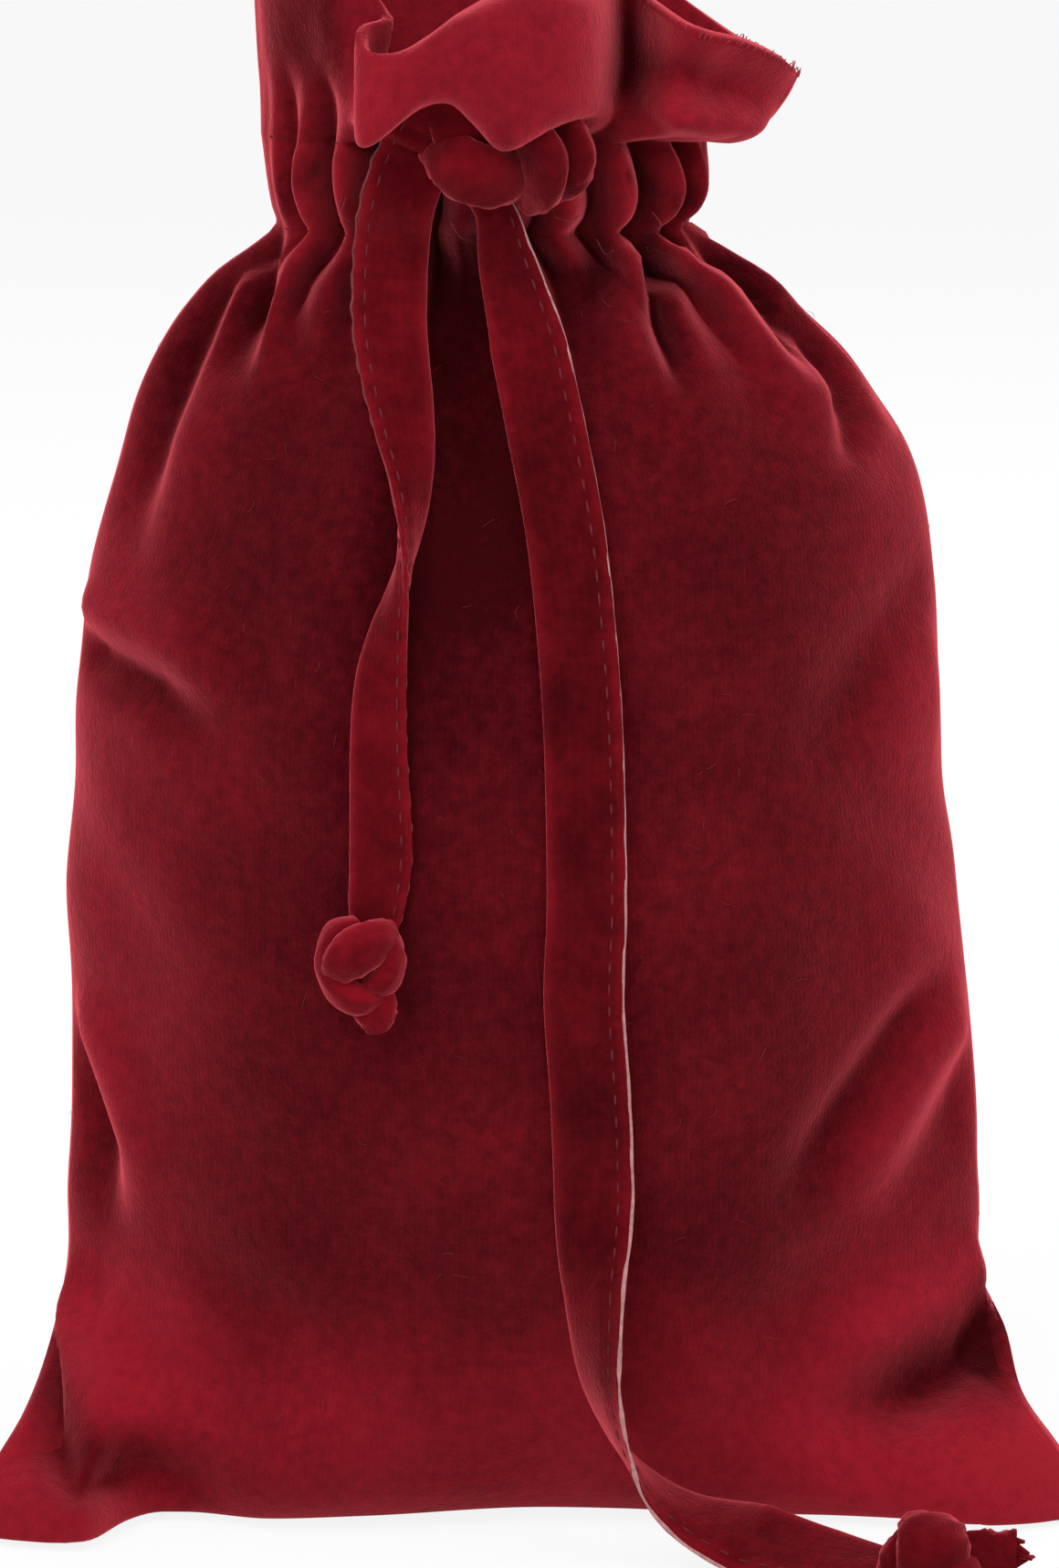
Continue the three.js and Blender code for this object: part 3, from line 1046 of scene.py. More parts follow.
@dataclass(frozen=True)
class Dent:
    """Set of soft dents all over the cloth: its seed, waves across and up, and depth."""

    seed: int
    across: int
    tall: int
    depth: float
    waves: int = 4

    def press(self, round_share: Array, up: Array) -> Array:
        """How far the dents move each point.

        Args:
            round_share: Place of each column round the pouch, 0 to 1.
            up: Place of each row up the pouch, 0 to 1.

        Returns:
            Shift outwards of each point.
        """
        source = np.random.default_rng(self.seed)
        total = np.zeros(np.broadcast(round_share, up).shape)
        for _ in range(self.waves):
            phase = self.across * round_share + self.tall * up * source.uniform(-1, 1) + source.uniform()
            sway = 2 * np.sin(2 * np.pi * (up * self.tall * source.uniform()))
            total += self.depth * 0.5 * np.cos(2 * np.pi * phase + sway)
        return total


DENTS = (Dent(3, 5, 2, 0.5), Dent(4, 9, 5, 0.3), Dent(5, 14, 9, 0.14))


@dataclass(frozen=True)
class Gathers:
    """Small folds that the ribbon draws the cloth into, placed by distance up the flat panel."""

    count: float = 11.0
    depth: float = 2.6
    rows: Span = Span(186, 211)
    roundness: float = 0.35
    wander: float = 1.5
    slant: float = 1.6
    broad_depth: float = 1.3
    broad_rows: Span = Span(165, 205)
    broad_end: Span = Span(205, 214)
    puff: float = 1.5
    puff_reach: float = 4.5
    puff_change: float = 0.35
    stitch_pull: float = 1.3
    stitch_reach: float = 1.6
    left_side: Span = Span(0.03, 0.2)
    right_side: Span = Span(0.03, 0.14)
    casing_ease: float = 3.0

    def swell(self, panel: Panel, share: Array, along: float, casing: Span) -> Array:
        """How far the gathers stand out along a row.

        Args:
            panel: Front or back.
            share: Places across the panel.
            along: Distance of the row up the flat panel.
            casing: Foot and head of the casing.

        Returns:
            How far each place stands out.
        """
        seed = 11 if panel is Panel.FRONT else 31
        above_foot = (along - casing.low) / (casing.high - casing.low)
        in_casing = smooth(casing.low - self.casing_ease, casing.low + self.casing_ease, along)
        slant = self.slant * in_casing * drift(share, seed + 5, (1, 2, 4)) * above_foot
        fine = 2 * np.pi * self.count * share + self.wander * drift(share, seed) + slant
        roll = 2 * np.abs(np.cos(fine / 2)) - 1
        rounded = self.roundness * np.cos(fine) + (1 - self.roundness) * roll
        broad = np.cos(2 * np.pi * 0.5 * self.count * share + 1.3 * drift(share, seed + 1))
        broad = broad * self.broad_rows.share(along) * (1 - self.broad_end.share(along))
        uneven = 1 + self.puff_change * drift(share, seed + 7, (5, 7, 11))
        puff = uneven * np.exp(-(((along - (casing.low + casing.high) / 2) / self.puff_reach) ** 2))
        pull = sum(np.exp(-(((along - row) / self.stitch_reach) ** 2)) for row in (casing.low, casing.high))
        depth = self.depth * self.rows.share(along) * (1 + self.puff_change * puff)
        sides = self.left_side.share(share) * self.right_side.share(1 - share)
        return sides * (depth * rounded + self.broad_depth * broad + self.puff * puff - self.stitch_pull * pull)


@dataclass(frozen=True)
class Collar:
    """Loose cloth above the casing: up at the left, bulging over the casing at the front, flared to the right."""

    rows: int = 37
    gathers_run_on: float = 0.6
    gathers_evened: int = 14
    wave: float = 0.8
    ripple: float = 0.3
    wave_rise: Span = Span(0.2, 0.9)
    side: Span = Span(0.0, 0.06)
    foot: Span = Span(0.0, 0.12)

    def points(self, panel: Panel, share: Array, casing: Array) -> Array:
        """Poses the collar over the casing.

        Args:
            panel: Front or back.
            share: Places across the panel.
            casing: Points along the head of the casing.

        Returns:
            Points by row and column, without the casing's own.
        """
        front = panel is Panel.FRONT
        table = FRONT_RIM if front else BACK_RIM
        lines = [casing] + [eased(read(table, "share", name, share), 2) for name in ("foot", "lip", "upper", "rim")]
        lines[1] = lines[1] + self.gathers_run_on * (casing - eased(casing, len(share) // self.gathers_evened))
        columns = [curve_through(column, self.rows) for column in np.stack(lines, axis=1)]
        points = np.stack(columns, axis=1)
        seed = 71 if front else 91
        rise = np.linspace(0, 1, self.rows)[:, None]
        wave = self.wave * self.wave_rise.share(rise) * drift(share, seed, (3, 5, 8))
        wave = wave + self.ripple * drift(share, seed + 3, (13, 17, 23))
        edge = self.side.share(share) * self.side.share(1 - share) * self.foot.share(rise)
        return (points + from_mouth(points) * (wave * edge)[..., None])[1:]


@dataclass(frozen=True)
class PanelPaintedLight:
    """Painted light and shade of a panel: painted sheen at the foot and the flanks, painted light on the casing and
    the collar, painted highlight on fold crests, and painted shade in the folds, the middle of the front, the
    hollows and the left of the collar.
    """

    plain: float = 0.29
    foot: float = 0.42
    foot_heights: Span = Span(12, 46)
    flank: float = 0.26
    flank_middle: float = -3.0
    flank_places: Span = Span(34, 62)
    fold: float = 0.085
    middle: float = 0.2
    middle_x: float = -9.0
    middle_reach: float = 15.0
    middle_heights: Span = Span(92, 140)
    middle_end: Span = Span(205, 213)
    seam_places: Span = Span(0.04, 0.14)
    gather: float = 0.12
    gather_rows: Span = Span(196, 212)
    gathers_evened: int = 20
    casing: float = 0.28
    casing_rows: Span = Span(207, 214)
    collar: float = 0.2
    collar_rows: Span = Span(226, 242)
    left_collar: float = 0.6
    left_places: Span = Span(-30, -24)

    def tone_and_painted_light(self, panel: Panel, points: Array, fold: Array, along: Array) -> Array:
        """Painted light and shade at each point, which the velvet's base colour follows.

        Args:
            panel: Front or back.
            points: Points of the panel by row and column.
            fold: How far each stands out on a fold.
            along: Distance of each row up the flat panel.

        Returns:
            The painted light and shade, 0 to 1.
        """
        x, z = points[..., 0], points[..., 2]
        along = np.broadcast_to(along[:, None], x.shape)
        # Painted sheen: lighter towards the foot and the flanks; painted highlight on fold crests and painted shade
        # in fold valleys.
        nap = self.plain + self.foot * (1 - self.foot_heights.share(z))
        nap = nap + self.flank * self.flank_places.share(np.abs(x - self.flank_middle)) + self.fold * fold
        seen = 1.0
        # Painted shade: darker in the middle of the front, from about halfway up to the casing.
        if panel is Panel.FRONT:
            middle = np.exp(-(((x - self.middle_x) / self.middle_reach) ** 2)) * self.middle_heights.share(z)
            nap = nap - self.middle * middle * (1 - self.middle_end.share(along))
        else:
            share = np.linspace(0, 1, x.shape[1])[None, :]
            seen = 1 - self.seam_places.share(np.minimum(share, 1 - share))
        # Painted shade in the hollows at the foot, in the collar's pocket and under the collar's right rim, kept on
        # the back only near the side seams.
        nap = nap - seen * sum(shade.press(x, z) for shade in FRONT_PAINTED_SHADE)
        # Painted highlight on the crests of the gathers and painted shade between them.
        plain = np.stack([eased(row, (x.shape[1] - 1) // self.gathers_evened) for row in points])
        relief = ((points - plain) * from_mouth(plain)).sum(-1)
        nap = nap + self.gather * relief * self.gather_rows.share(along)
        # Painted light on the casing and the collar, and painted shade on the left part of the collar.
        nap = nap + self.casing * self.casing_rows.share(along)
        at_left = 1 - self.left_places.share(x)
        nap = nap + self.collar_rows.share(along) * (self.collar - self.left_collar * at_left)
        return np.clip(nap, 0, 1)


@dataclass
class Pouch:
    """The bag: two velvet panels sewn round three sides, gathered at the casing, with a loose collar above."""

    panel_width: float = 160.0
    casing_foot: float = 212.0
    casing_head: float = 225.0
    panel_length: float = 259.0
    cloth: float = 1.7
    columns: int = 170
    body_rows: int = 150
    casing_rows: int = 17
    section_steps: int = 801
    base_depth: float = 17.0
    base_roundness: float = 0.8
    corner_places: Span = Span(50, 66)
    slump_heights: Span = Span(4, 34)
    fold_rows: Span = Span(8, 30)
    fold_end: Span = Span(208, 213)
    seam_rows: Span = Span(50, 90)
    near_height: float = 1.6
    gathers: Gathers = Gathers()
    collar: Collar = Collar()
    # Painted light and shade of the panels.
    nap: PanelPaintedLight = PanelPaintedLight()
    along: Array = field(init=False)
    grid: Array = field(init=False)
    fold: Array = field(init=False)
    pieces: dict[Panel, bpy.types.Object] = field(init=False, default_factory=dict)

    def __post_init__(self) -> None:
        """Sets the rows of the cloth, with one on each row of casing stitches."""
        body = np.linspace(0.0, self.casing_foot, self.body_rows)
        casing = np.linspace(self.casing_foot, self.casing_head, self.casing_rows)[1:]
        collar = np.linspace(self.casing_head, self.panel_length, self.collar.rows)[1:]
        self.along = np.concatenate([body, casing, collar])

    def build(self) -> None:
        """Poses the cloth, presses its folds in and makes the two panels."""
        self.grid = self._creased(self._posed())
        for panel in Panel:
            self.pieces[panel] = self._panel(panel)

    def dress(self) -> None:
        """Gives both panels their velvet."""
        for panel, piece in self.pieces.items():
            dress(piece, VELVET, Slot.VELVET, f"{panel.value}_panel")

    def front_at(self, x: Array, z: Array, reach: float) -> Array:
        """How far the front stands forward near places, as Y values.

        Args:
            x: Places across.
            z: Heights.
            reach: Half width that is looked at.

        Returns:
            The furthest forward Y near each place, or not a number where there is no cloth under the collar.
        """
        cloth = self.grid[self.along < self.casing_head, : self.columns + 1].reshape(-1, 3)
        found = []
        for place_x, place_z in zip(x, z):
            near = (np.abs(cloth[:, 0] - place_x) < reach) & (np.abs(cloth[:, 2] - place_z) < self.near_height)
            found.append(cloth[near, 1].min() if near.any() else np.nan)
        return np.array(found)

    def casing_row(self, along: float) -> Array:
        """Points round the casing at a row of stitches."""
        return self.grid[int(np.argmin(np.abs(self.along - along)))]

    def _posed(self) -> Array:
        """The filled-out pouch.

        Returns:
            Points by row and column, round the front from left to right and back behind.
        """
        share = np.linspace(0.0, 1.0, self.columns + 1)
        sewn = self.along[self.along <= self.casing_head]
        panels = []
        for panel in Panel:
            rows = np.stack([self._row(panel, along, share) for along in sewn])
            panels.append(np.concatenate([rows, self.collar.points(panel, share, rows[-1])]))
        return np.concatenate([panels[0], panels[1][:, 1:-1]], axis=1)

    def _row(self, panel: Panel, along: float, share: Array) -> Array:
        """One row of a panel in the posed pouch.

        Args:
            panel: Front or back.
            along: Distance of the row up the flat panel.
            share: Places across the panel.

        Returns:
            Points of the row.
        """
        front = panel is Panel.FRONT
        height = read(STATIONS, "along", "height", along)
        left, right = (read(FLANKS, "height", side, height) for side in ("left", "right"))
        x, y = self._section((right - left) / 2, read(STATIONS, "along", "depth", along), along, share)
        x = (left + right) / 2 + (x if front else x[::-1])
        y = -y if front else y[::-1]
        out = unit(np.stack([np.gradient(y), -np.gradient(x)], axis=1))
        swell = self.gathers.swell(panel, share, along, Span(self.casing_foot, self.casing_head))
        x, y = x + out[:, 0] * swell, y + out[:, 1] * swell
        y = y - self._slump(panel, along, height, x)
        return np.stack([x, y, np.full_like(x, height)], axis=1)

    def _slump(self, panel: Panel, along: float, height: float, x: Array) -> Array:
        """How far the foot of the cloth lies forward, its two corners flopped on the floor.

        Args:
            panel: Front or back.
            along: Distance of the row up the flat panel.
            height: Height of the row.
            x: Places across.

        Returns:
            Shift to the front of each place.
        """
        half = self.panel_width / 2
        forward = read(FEET, "across", "forward", x)
        contact = self.base_depth * np.clip(1 - (x / half) ** 2, 0, 1) ** self.base_roundness
        corner = self.corner_places.share(np.abs(x))
        under = np.maximum(np.minimum(along / self.base_depth, 1.0), corner) if panel is Panel.FRONT else corner
        return (forward - contact) * under * (1 - self.slump_heights.share(height))

    def _section(self, half: float, depth: float, along: float, share: Array) -> tuple[Array, Array]:
        """Half section of the pouch, at equal steps of its length.

        Args:
            half: Half width.
            depth: Depth to the front or back.
            along: Distance up the flat panel.
            share: Places across the panel.

        Returns:
            Across and depth of each place.
        """
        turn = np.sin(np.pi / 2 * np.linspace(-1, 1, self.section_steps))
        x = half * turn
        y = depth * np.clip(1 - turn * turn, 0, 1) ** read(STATIONS, "along", "point", along)
        length = np.concatenate([[0.0], np.cumsum(np.hypot(np.diff(x), np.diff(y)))])
        wanted = share * length[-1]
        return np.interp(wanted, length, x), np.interp(wanted, length, y)

    def _creased(self, grid: Array) -> Array:
        """The cloth with its folds and dents pressed in along its own normal.

        Args:
            grid: Points by row and column.

        Returns:
            The pressed points.
        """
        self.fold = self._folds(grid)
        up = np.linspace(0, 1, len(grid))[:, None]
        round_share = np.linspace(0, 1, grid.shape[1], endpoint=False)[None, :]
        dents = sum(dent.press(round_share, up) for dent in DENTS)
        body = self.fold_rows.share(self.along) * (1 - self.fold_end.share(self.along))
        return grid + self._normals(grid) * ((self.fold + dents) * body[:, None])[..., None]

    @staticmethod
    def _normals(grid: Array) -> Array:
        """Directions out of the cloth, evened over its gathers.

        Args:
            grid: Points by row and column.

        Returns:
            A unit vector at each point.
        """
        round_step = np.roll(grid, -2, 1) - np.roll(grid, 2, 1)
        normal = unit(np.cross(round_step, np.gradient(grid, axis=0)))
        rounds, row_reach = 60, 5
        for _ in range(rounds):
            normal = 0.5 * normal + 0.25 * (np.roll(normal, 1, 1) + np.roll(normal, -1, 1))
        return unit(eased(normal, row_reach))

    def _folds(self, grid: Array) -> Array:
        """How far the folds of both panels stand out, fading at the side seams.

        Args:
            grid: Points by row and column.

        Returns:
            Shift outwards of each point.
        """
        columns = grid.shape[1]
        half = columns // 2
        shift = np.zeros(grid.shape[:2])
        for pleats, part in ((FRONT_PLEATS, slice(0, half + 1)), (BACK_PLEATS, slice(half, columns))):
            for pleat in pleats:
                shift[:, part] += pleat.press(grid[:, part, 0], grid[:, part, 2])
        place = np.linspace(0, 2, columns, endpoint=False) % 1.0
        low_reach, more_reach = 0.012, 0.038
        reach = low_reach + more_reach * self.seam_rows.share(self.along)[:, None]
        return shift * smooth(0.0, 1.0, place[None, :] / reach) * smooth(0.0, 1.0, (1 - place[None, :]) / reach)

    def _panel(self, panel: Panel) -> bpy.types.Object:
        """One panel as a sheet with the velvet's thickness.

        Args:
            panel: Front or back.

        Returns:
            The piece.
        """
        columns = self.grid.shape[1]
        half = columns // 2
        chosen = np.arange(half + 1) if panel is Panel.FRONT else np.arange(half, columns + 1) % columns
        points = self.grid[:, chosen]
        index = np.arange(points[..., 0].size).reshape(len(points), -1)
        across = np.linspace(0, self.panel_width, half + 1)
        uvs = np.stack(np.broadcast_arrays(across[None, :], self.along[:, None]), axis=-1).reshape(-1, 2) * MM
        piece = make_piece(f"{panel.value}_cloth", (points.reshape(-1, 3), quads(index)), uvs)
        # Stores the panel's painted light and shade for its velvet.
        store_painted_light(piece, self.nap.tone_and_painted_light(panel, points, self.fold[:, chosen], self.along).ravel())
        opposite = self.grid[:, (columns - chosen) % columns]
        room = np.linalg.norm(points - opposite, axis=-1) / (2 * self.cloth)
        self._thicken(piece, np.round(np.clip(room, 0, 1).ravel(), 2))
        return piece

    def _thicken(self, piece: bpy.types.Object, room: Array) -> None:
        """Gives a panel the velvet's thickness, thinner where the two panels meet.

        Args:
            piece: The panel.
            room: Share of the thickness there is room for at each vertex.
        """
        group = piece.vertex_groups.new(name="velvet_thickness")
        for step, share in enumerate(room):
            group.add([step], float(share), "REPLACE")
        wall = piece.modifiers.new("velvet_thickness", "SOLIDIFY")
        wall.vertex_group = group.name
        wall.thickness_vertex_group = 0.1
        wall.thickness = self.cloth * MM
        wall.offset = -1.0
        wall.use_even_offset = False
        bpy.ops.object.select_all(action="DESELECT")
        bpy.context.view_layer.objects.active = piece
        piece.select_set(True)
        bpy.ops.object.modifier_apply(modifier=wall.name)


@dataclass
class Tape:
    """Velvet cut in a strip, folded double and sewn along its open edge, lying along a route.

    Turns, pinches and frayed are spread evenly along it: how far the tape is turned, in degrees, its share of the
    full width, and how much of the cut edge shows.
    """

    name: str
    cad_node: str
    exit_point: Point
    route: Array
    lead: Sequence[Point]
    turns: Sequence[float]
    pinches: Sequence[float]
    frayed: Sequence[float]
    free_below: float
    edge: ThreadFinish
    tone_and_painted_light: float
    # Lighter towards the tape's lower end.
    foot_lightening: float = 0.0
    foot_places: Span = Span(0.7, 0.9)
    # Painted sheen: lighter along both edges of the tape.
    painted_edge_sheen: float = 0.3
    edge_places: Span = Span(0.62, 0.96)
    patches: float = 0.16
    width: float = 11.0
    thickness: float = 1.7
    thinnest: float = 0.44
    sewn_places: Span = Span(0.35, 0.8)
    clear: float = 0.3
    cloth_share: float = 0.42
    bridged_steps: int = 25
    bridged_lift: float = 0.6
    free_ease: float = 12.0
    stitch_pitch: float = 3.2
    stitch_length: float = 0.62
    stitch_row: float = 0.66
    first_stitch: float = 2.0
    last_clear: float = 3.0
    thread: float = 0.2
    steps: int = 240
    path: Array = field(init=False)
    pinch: Array = field(init=False)
    wide: Array = field(init=False)
    face: Array = field(init=False)
    pieces: list[bpy.types.Object] = field(init=False, default_factory=list)

    def lay(self, pouch: Pouch) -> None:
        """Works out the line of the tape, lying on the cloth of the front.

        Args:
            pouch: The pouch it lies on.
        """
        points = np.concatenate([np.reshape(self.lead, (-1, 3)), self.route])
        path = curve_through(points, self.steps)
        turn = np.radians(self._spread(self.turns))[:, None]
        self.pinch = self._spread(self.pinches)
        cloth = pouch.front_at(path[:, 0], path[:, 2], self.cloth_share * self.width)
        rest = np.where(np.isnan(cloth), path[:, 1], cloth - 0.5 * self.thickness - self.clear)
        kernel = np.hanning(self.bridged_steps)
        kernel /= kernel.sum()
        padded = np.pad(rest, len(kernel) // 2, mode="edge")
        settled = np.minimum(np.convolve(padded, kernel, mode="valid"), rest + self.bridged_lift)
        on_cloth = smooth(self.free_below - self.free_ease, self.free_below + self.free_ease, path[:, 2])
        path[:, 1] = path[:, 1] + on_cloth * (settled - path[:, 1])
        tangent = unit(np.gradient(path, axis=0))
        wide = carried((1.0, 0.0, 0.0), tangent)
        face = np.cross(tangent, wide)
        self.wide = wide * np.cos(turn) + face * np.sin(turn)
        self.face = face * np.cos(turn) - wide * np.sin(turn)
        reach = 0.5 * self.width * self.pinch * np.abs(self.wide[:, 2]) + 0.6 * self.thickness + self.clear
        path[:, 2] = np.maximum(path[:, 2], np.where(path[:, 2] < self.free_below, reach, 0.0))
        self.path = path

    def build(self) -> None:
        """Makes the tape, its stitches and its cut edge."""
        length = distances(self.path)
        rings = self._rings(length)
        around = rings.shape[1]
        girth = np.linspace(0, 2 * self.width, around)
        uvs = np.stack(np.broadcast_arrays(girth[None, :], length[:, None]), axis=-1).reshape(-1, 2)
        uvs = np.vstack([uvs, uvs[:1], uvs[-1:]]) * MM
        tape = make_piece(self.name, swept(rings), uvs)
        share = np.linspace(0, 1, self.steps)
        tone_and_painted_light = self.tone_and_painted_light + self.patches * drift(share, around + len(self.name), (3, 8, 13, 21))
        tone_and_painted_light = tone_and_painted_light + self.foot_lightening * self.foot_places.share(share)
        front = np.cos(np.linspace(0, np.pi, around // 2 + 1))
        # Painted sheen along both edges of the tape.
        sides = self.painted_edge_sheen * self.edge_places.share(np.abs(np.concatenate([front, front[::-1][1:-1]])))
        store_painted_light(tape, np.append((tone_and_painted_light[:, None] + sides[None, :]).ravel(), tone_and_painted_light[[0, -1]]))
        self.pieces = [tape, self._stitches(length), self._cut_edge()]

    def dress(self, knot: bpy.types.Object) -> None:
        """Gives the tape its finishes.

        Args:
            knot: The knot at its end; not used.
        """
        tape, stitches, cut = self.pieces
        dress(tape, TAPE_VELVET, Slot.RIBBON, self.cad_node)
        dress(stitches, SEWING, Slot.RIBBON)
        dress(cut, self.edge, Slot.RIBBON)

    def _spread(self, values: Sequence[float]) -> Array:
        """Values spread evenly along the tape."""
        return np.interp(np.linspace(0, 1, self.steps), np.linspace(0, 1, len(values)), values)

    def _rings(self, length: Array) -> Array:
        """Sections of the tape along its line: plump at the fold, thin at the sewn edge, dimpled at each stitch.

        Args:
            length: Distance along the tape of each section.

        Returns:
            Points by section and by place round it.
        """
        across = np.cos(np.linspace(0, np.pi, 13))
        share = np.linspace(0, 1, self.steps)
        seed = len(self.name)
        dimple = 0.5 + 0.5 * np.cos(2 * np.pi * length / self.stitch_pitch)
        plump = 0.5 * self.thickness * np.clip(1 - np.abs(across) ** 6, 0, 1) ** 0.5
        sewn = self.sewn_places.share(across)
        half = plump[None, :] * (1 - sewn[None, :] * (0.35 + 0.3 * dimple[:, None]))
        half = np.maximum(half, 0.5 * self.thinnest) * (2.0 - self.pinch[:, None])
        sway = 0.35 * drift(share, seed, (5, 9, 16))[:, None] * across[None, :]
        sway = sway + 0.25 * drift(share, seed + 1, (7, 13, 21))[:, None] * (across[None, :] ** 2 - 0.5)
        edge = 1 + 0.03 * drift(share, seed + 2, (6, 11, 23))[:, None]
        a = 0.5 * self.width * across[None, :] * self.pinch[:, None] * edge
        outer = np.stack([a, half + sway], axis=-1)
        inner = np.stack([a, -half + sway], axis=-1)[:, ::-1][:, 1:-1]
        flat = np.concatenate([outer, inner], axis=1)
        return self.path[:, None] + flat[..., :1] * self.wide[:, None] + flat[..., 1:] * self.face[:, None]

    def _stitches(self, length: Array) -> bpy.types.Object:
        """Thread lying on both faces along the sewn edge.

        Args:
            length: Distance along the tape of each of its points.

        Returns:
            The piece.
        """
        parts = []
        row = 0.5 * self.width * self.stitch_row
        swell = self.thread * np.sin(np.linspace(0.25, np.pi - 0.25, 5))[:, None, None]
        for start in np.arange(self.first_stitch, length[-1] - self.last_clear, self.stitch_pitch):
            spots = np.linspace(start, start + self.stitch_length * self.stitch_pitch, 5)
            line, wide, face = (sampled(values, length, spots) for values in (self.path, self.wide, self.face))
            pinch = np.interp(spots, length, self.pinch)[:, None]
            for side in (1, -1):
                centre = line + wide * row * pinch + side * face * 0.26 * self.thickness * (2.0 - pinch)
                parts.append(swept(centre[:, None] + swell * hoops(wide, face, 6)))
        return make_piece(f"{self.name}_stitches", merged(parts))

    def _cut_edge(self) -> bpy.types.Object:
        """The two cut edges of the ground weave, showing pale along the sewn side.

        Returns:
            The piece.
        """
        share = np.linspace(0, 1, self.steps)
        seed = 40 + len(self.name)
        angle = np.linspace(0, 2 * np.pi, 8, endpoint=False)
        shown = self._spread(self.frayed)
        out = 0.5 * self.width * self.pinch + 4 * drift(share, seed, (30, 47, 80)) - 0.25 * (1 - shown)
        tall = np.minimum(shown, 1.15) * (0.25 + 2.5 * drift(share, seed + 1, (25, 41, 70)))
        broad = 0.06 + 0.14 * shown
        a = out[:, None] + broad[:, None] * np.cos(angle)[None, :]
        b = tall[:, None] * np.sin(angle)[None, :]
        rings = self.path[:, None] + a[..., None] * self.wide[:, None] + b[..., None] * self.face[:, None]
        return make_piece(f"{self.name}_cut_edge", swept(rings))


@dataclass(frozen=True)
class Strand:
    """Crumpled length of the ribbon in a knot, along given points."""

    points: Any
    widths: Sequence[float]
    thickness: float
    seed: int
    crumple: float = 1.1
    normal: Point = (0.0, -1.0, 0.0)
    steps: int = 90
    sides: int = 22

    def moved(self, middle: Array) -> "Strand":
        """The strand about another middle."""
        return replace(self, points=middle + np.array(self.points))

    def skin(self) -> Skin:
        """Closed skin of the strand.

        Returns:
            Vertices and faces.
        """
        path = curve_through(np.array(self.points, dtype=float), self.steps)
        tangent = unit(np.gradient(path, axis=0))
        share = np.linspace(0, 1, self.steps)
        width = np.interp(share, np.linspace(0, 1, len(self.widths)), self.widths)
        face = carried(self.normal, tangent)
        wide = np.cross(face, tangent)
        angle = np.linspace(0, 2 * np.pi, self.sides, endpoint=False)
        ridge = 0.045 * np.cos(5 * angle[None, :] + 4 * drift(share, self.seed)[:, None])
        ridge = ridge + 0.025 * np.cos(9 * angle[None, :] + 5 * drift(share, self.seed + 1)[:, None])
        ridge = 1 + self.crumple * ridge
        a = 0.5 * width[:, None] * np.cos(angle)[None, :] * ridge
        b = 0.5 * self.thickness * np.sign(np.sin(angle)) * np.abs(np.sin(angle)) ** 0.8 * ridge
        return swept(path[:, None] + a[..., None] * wide[:, None] + b[..., None] * face[:, None])


# Strands of the left and right end knots, about the middle of each, and of the half knot.
LEFT_KNOT = (
    Strand(
        ((3.0, 0.2, 4.6), (1.7, -2.0, 4.0), (-0.6, -3.0, 2.8), (-2.6, -2.6, 1.2), (-3.4, -0.6, -0.4)),
        (4.6, 6.2, 6.8, 6.2, 4.4),
        5.4,
        9,
    ),
    Strand(
        (
            (-0.8, 0.6, 5.4), (-3.3, -0.5, 4.8), (-4.4, -1.2, 2.2), (-4.2, -1.5, -0.7), (-2.7, -1.9, -3.1),
            (-0.4, -2.0, -4.3), (2.0, -0.8, -4.2),
        ),
        (3.4, 3.8, 3.9, 4.1, 4.3, 4.5, 3.6),
        4.6,
        14,
    ),
    Strand(
        ((1.8, 0.6, 5.0), (3.5, -0.7, 3.6), (4.0, -1.5, 0.9), (3.2, -1.9, -1.7), (1.2, -0.8, -2.6)),
        (3.4, 4.0, 4.2, 4.0, 3.0),
        4.6,
        21,
    ),
    Strand(
        ((0.4, -0.2, -2.0), (1.4, -0.9, -4.4), (1.9, -1.1, -6.3), (2.2, -0.8, -8.0), (2.4, -0.6, -8.8)),
        (4.4, 5.8, 6.4, 5.8, 3.4),
        3.4,
        29,
    ),
)
RIGHT_KNOT = (
    Strand(
        (
            (1.0, -0.4, -4.6), (0.8, -2.0, -1.0), (0.9, -2.0, 2.4), (1.2, 0.2, 4.2), (1.4, 2.8, 3.6),
            (1.4, 3.6, 0.6),
        ),
        (9.0, 10.0, 10.4, 9.8, 8.0, 6.0),
        4.4,
        13,
        1.3,
    ),
    Strand(
        ((-3.8, 0.4, -4.4), (-4.2, -0.8, -1.6), (-3.6, -0.8, 0.8), (-2.6, 0.8, 2.0), (-2.0, 2.6, 1.2)),
        (4.2, 5.0, 5.0, 4.6, 3.6),
        3.4,
        25,
        1.3,
    ),
    Strand(
        ((-5.0, 0.6, -3.2), (-2.6, -3.0, -3.6), (1.4, -4.2, -2.8), (5.2, -2.8, -1.2), (6.8, 0.2, -0.2)),
        (3.8, 5.2, 5.8, 5.2, 4.0),
        3.0,
        37,
        1.3,
    ),
    Strand(
        ((0.0, 0.0, -0.4), (6.0, 0.0, -0.2), (12.6, 0.0, -0.5)),
        (6.0, 8.8, 9.2),
        3.0,
        12,
        1.3,
    ),
)
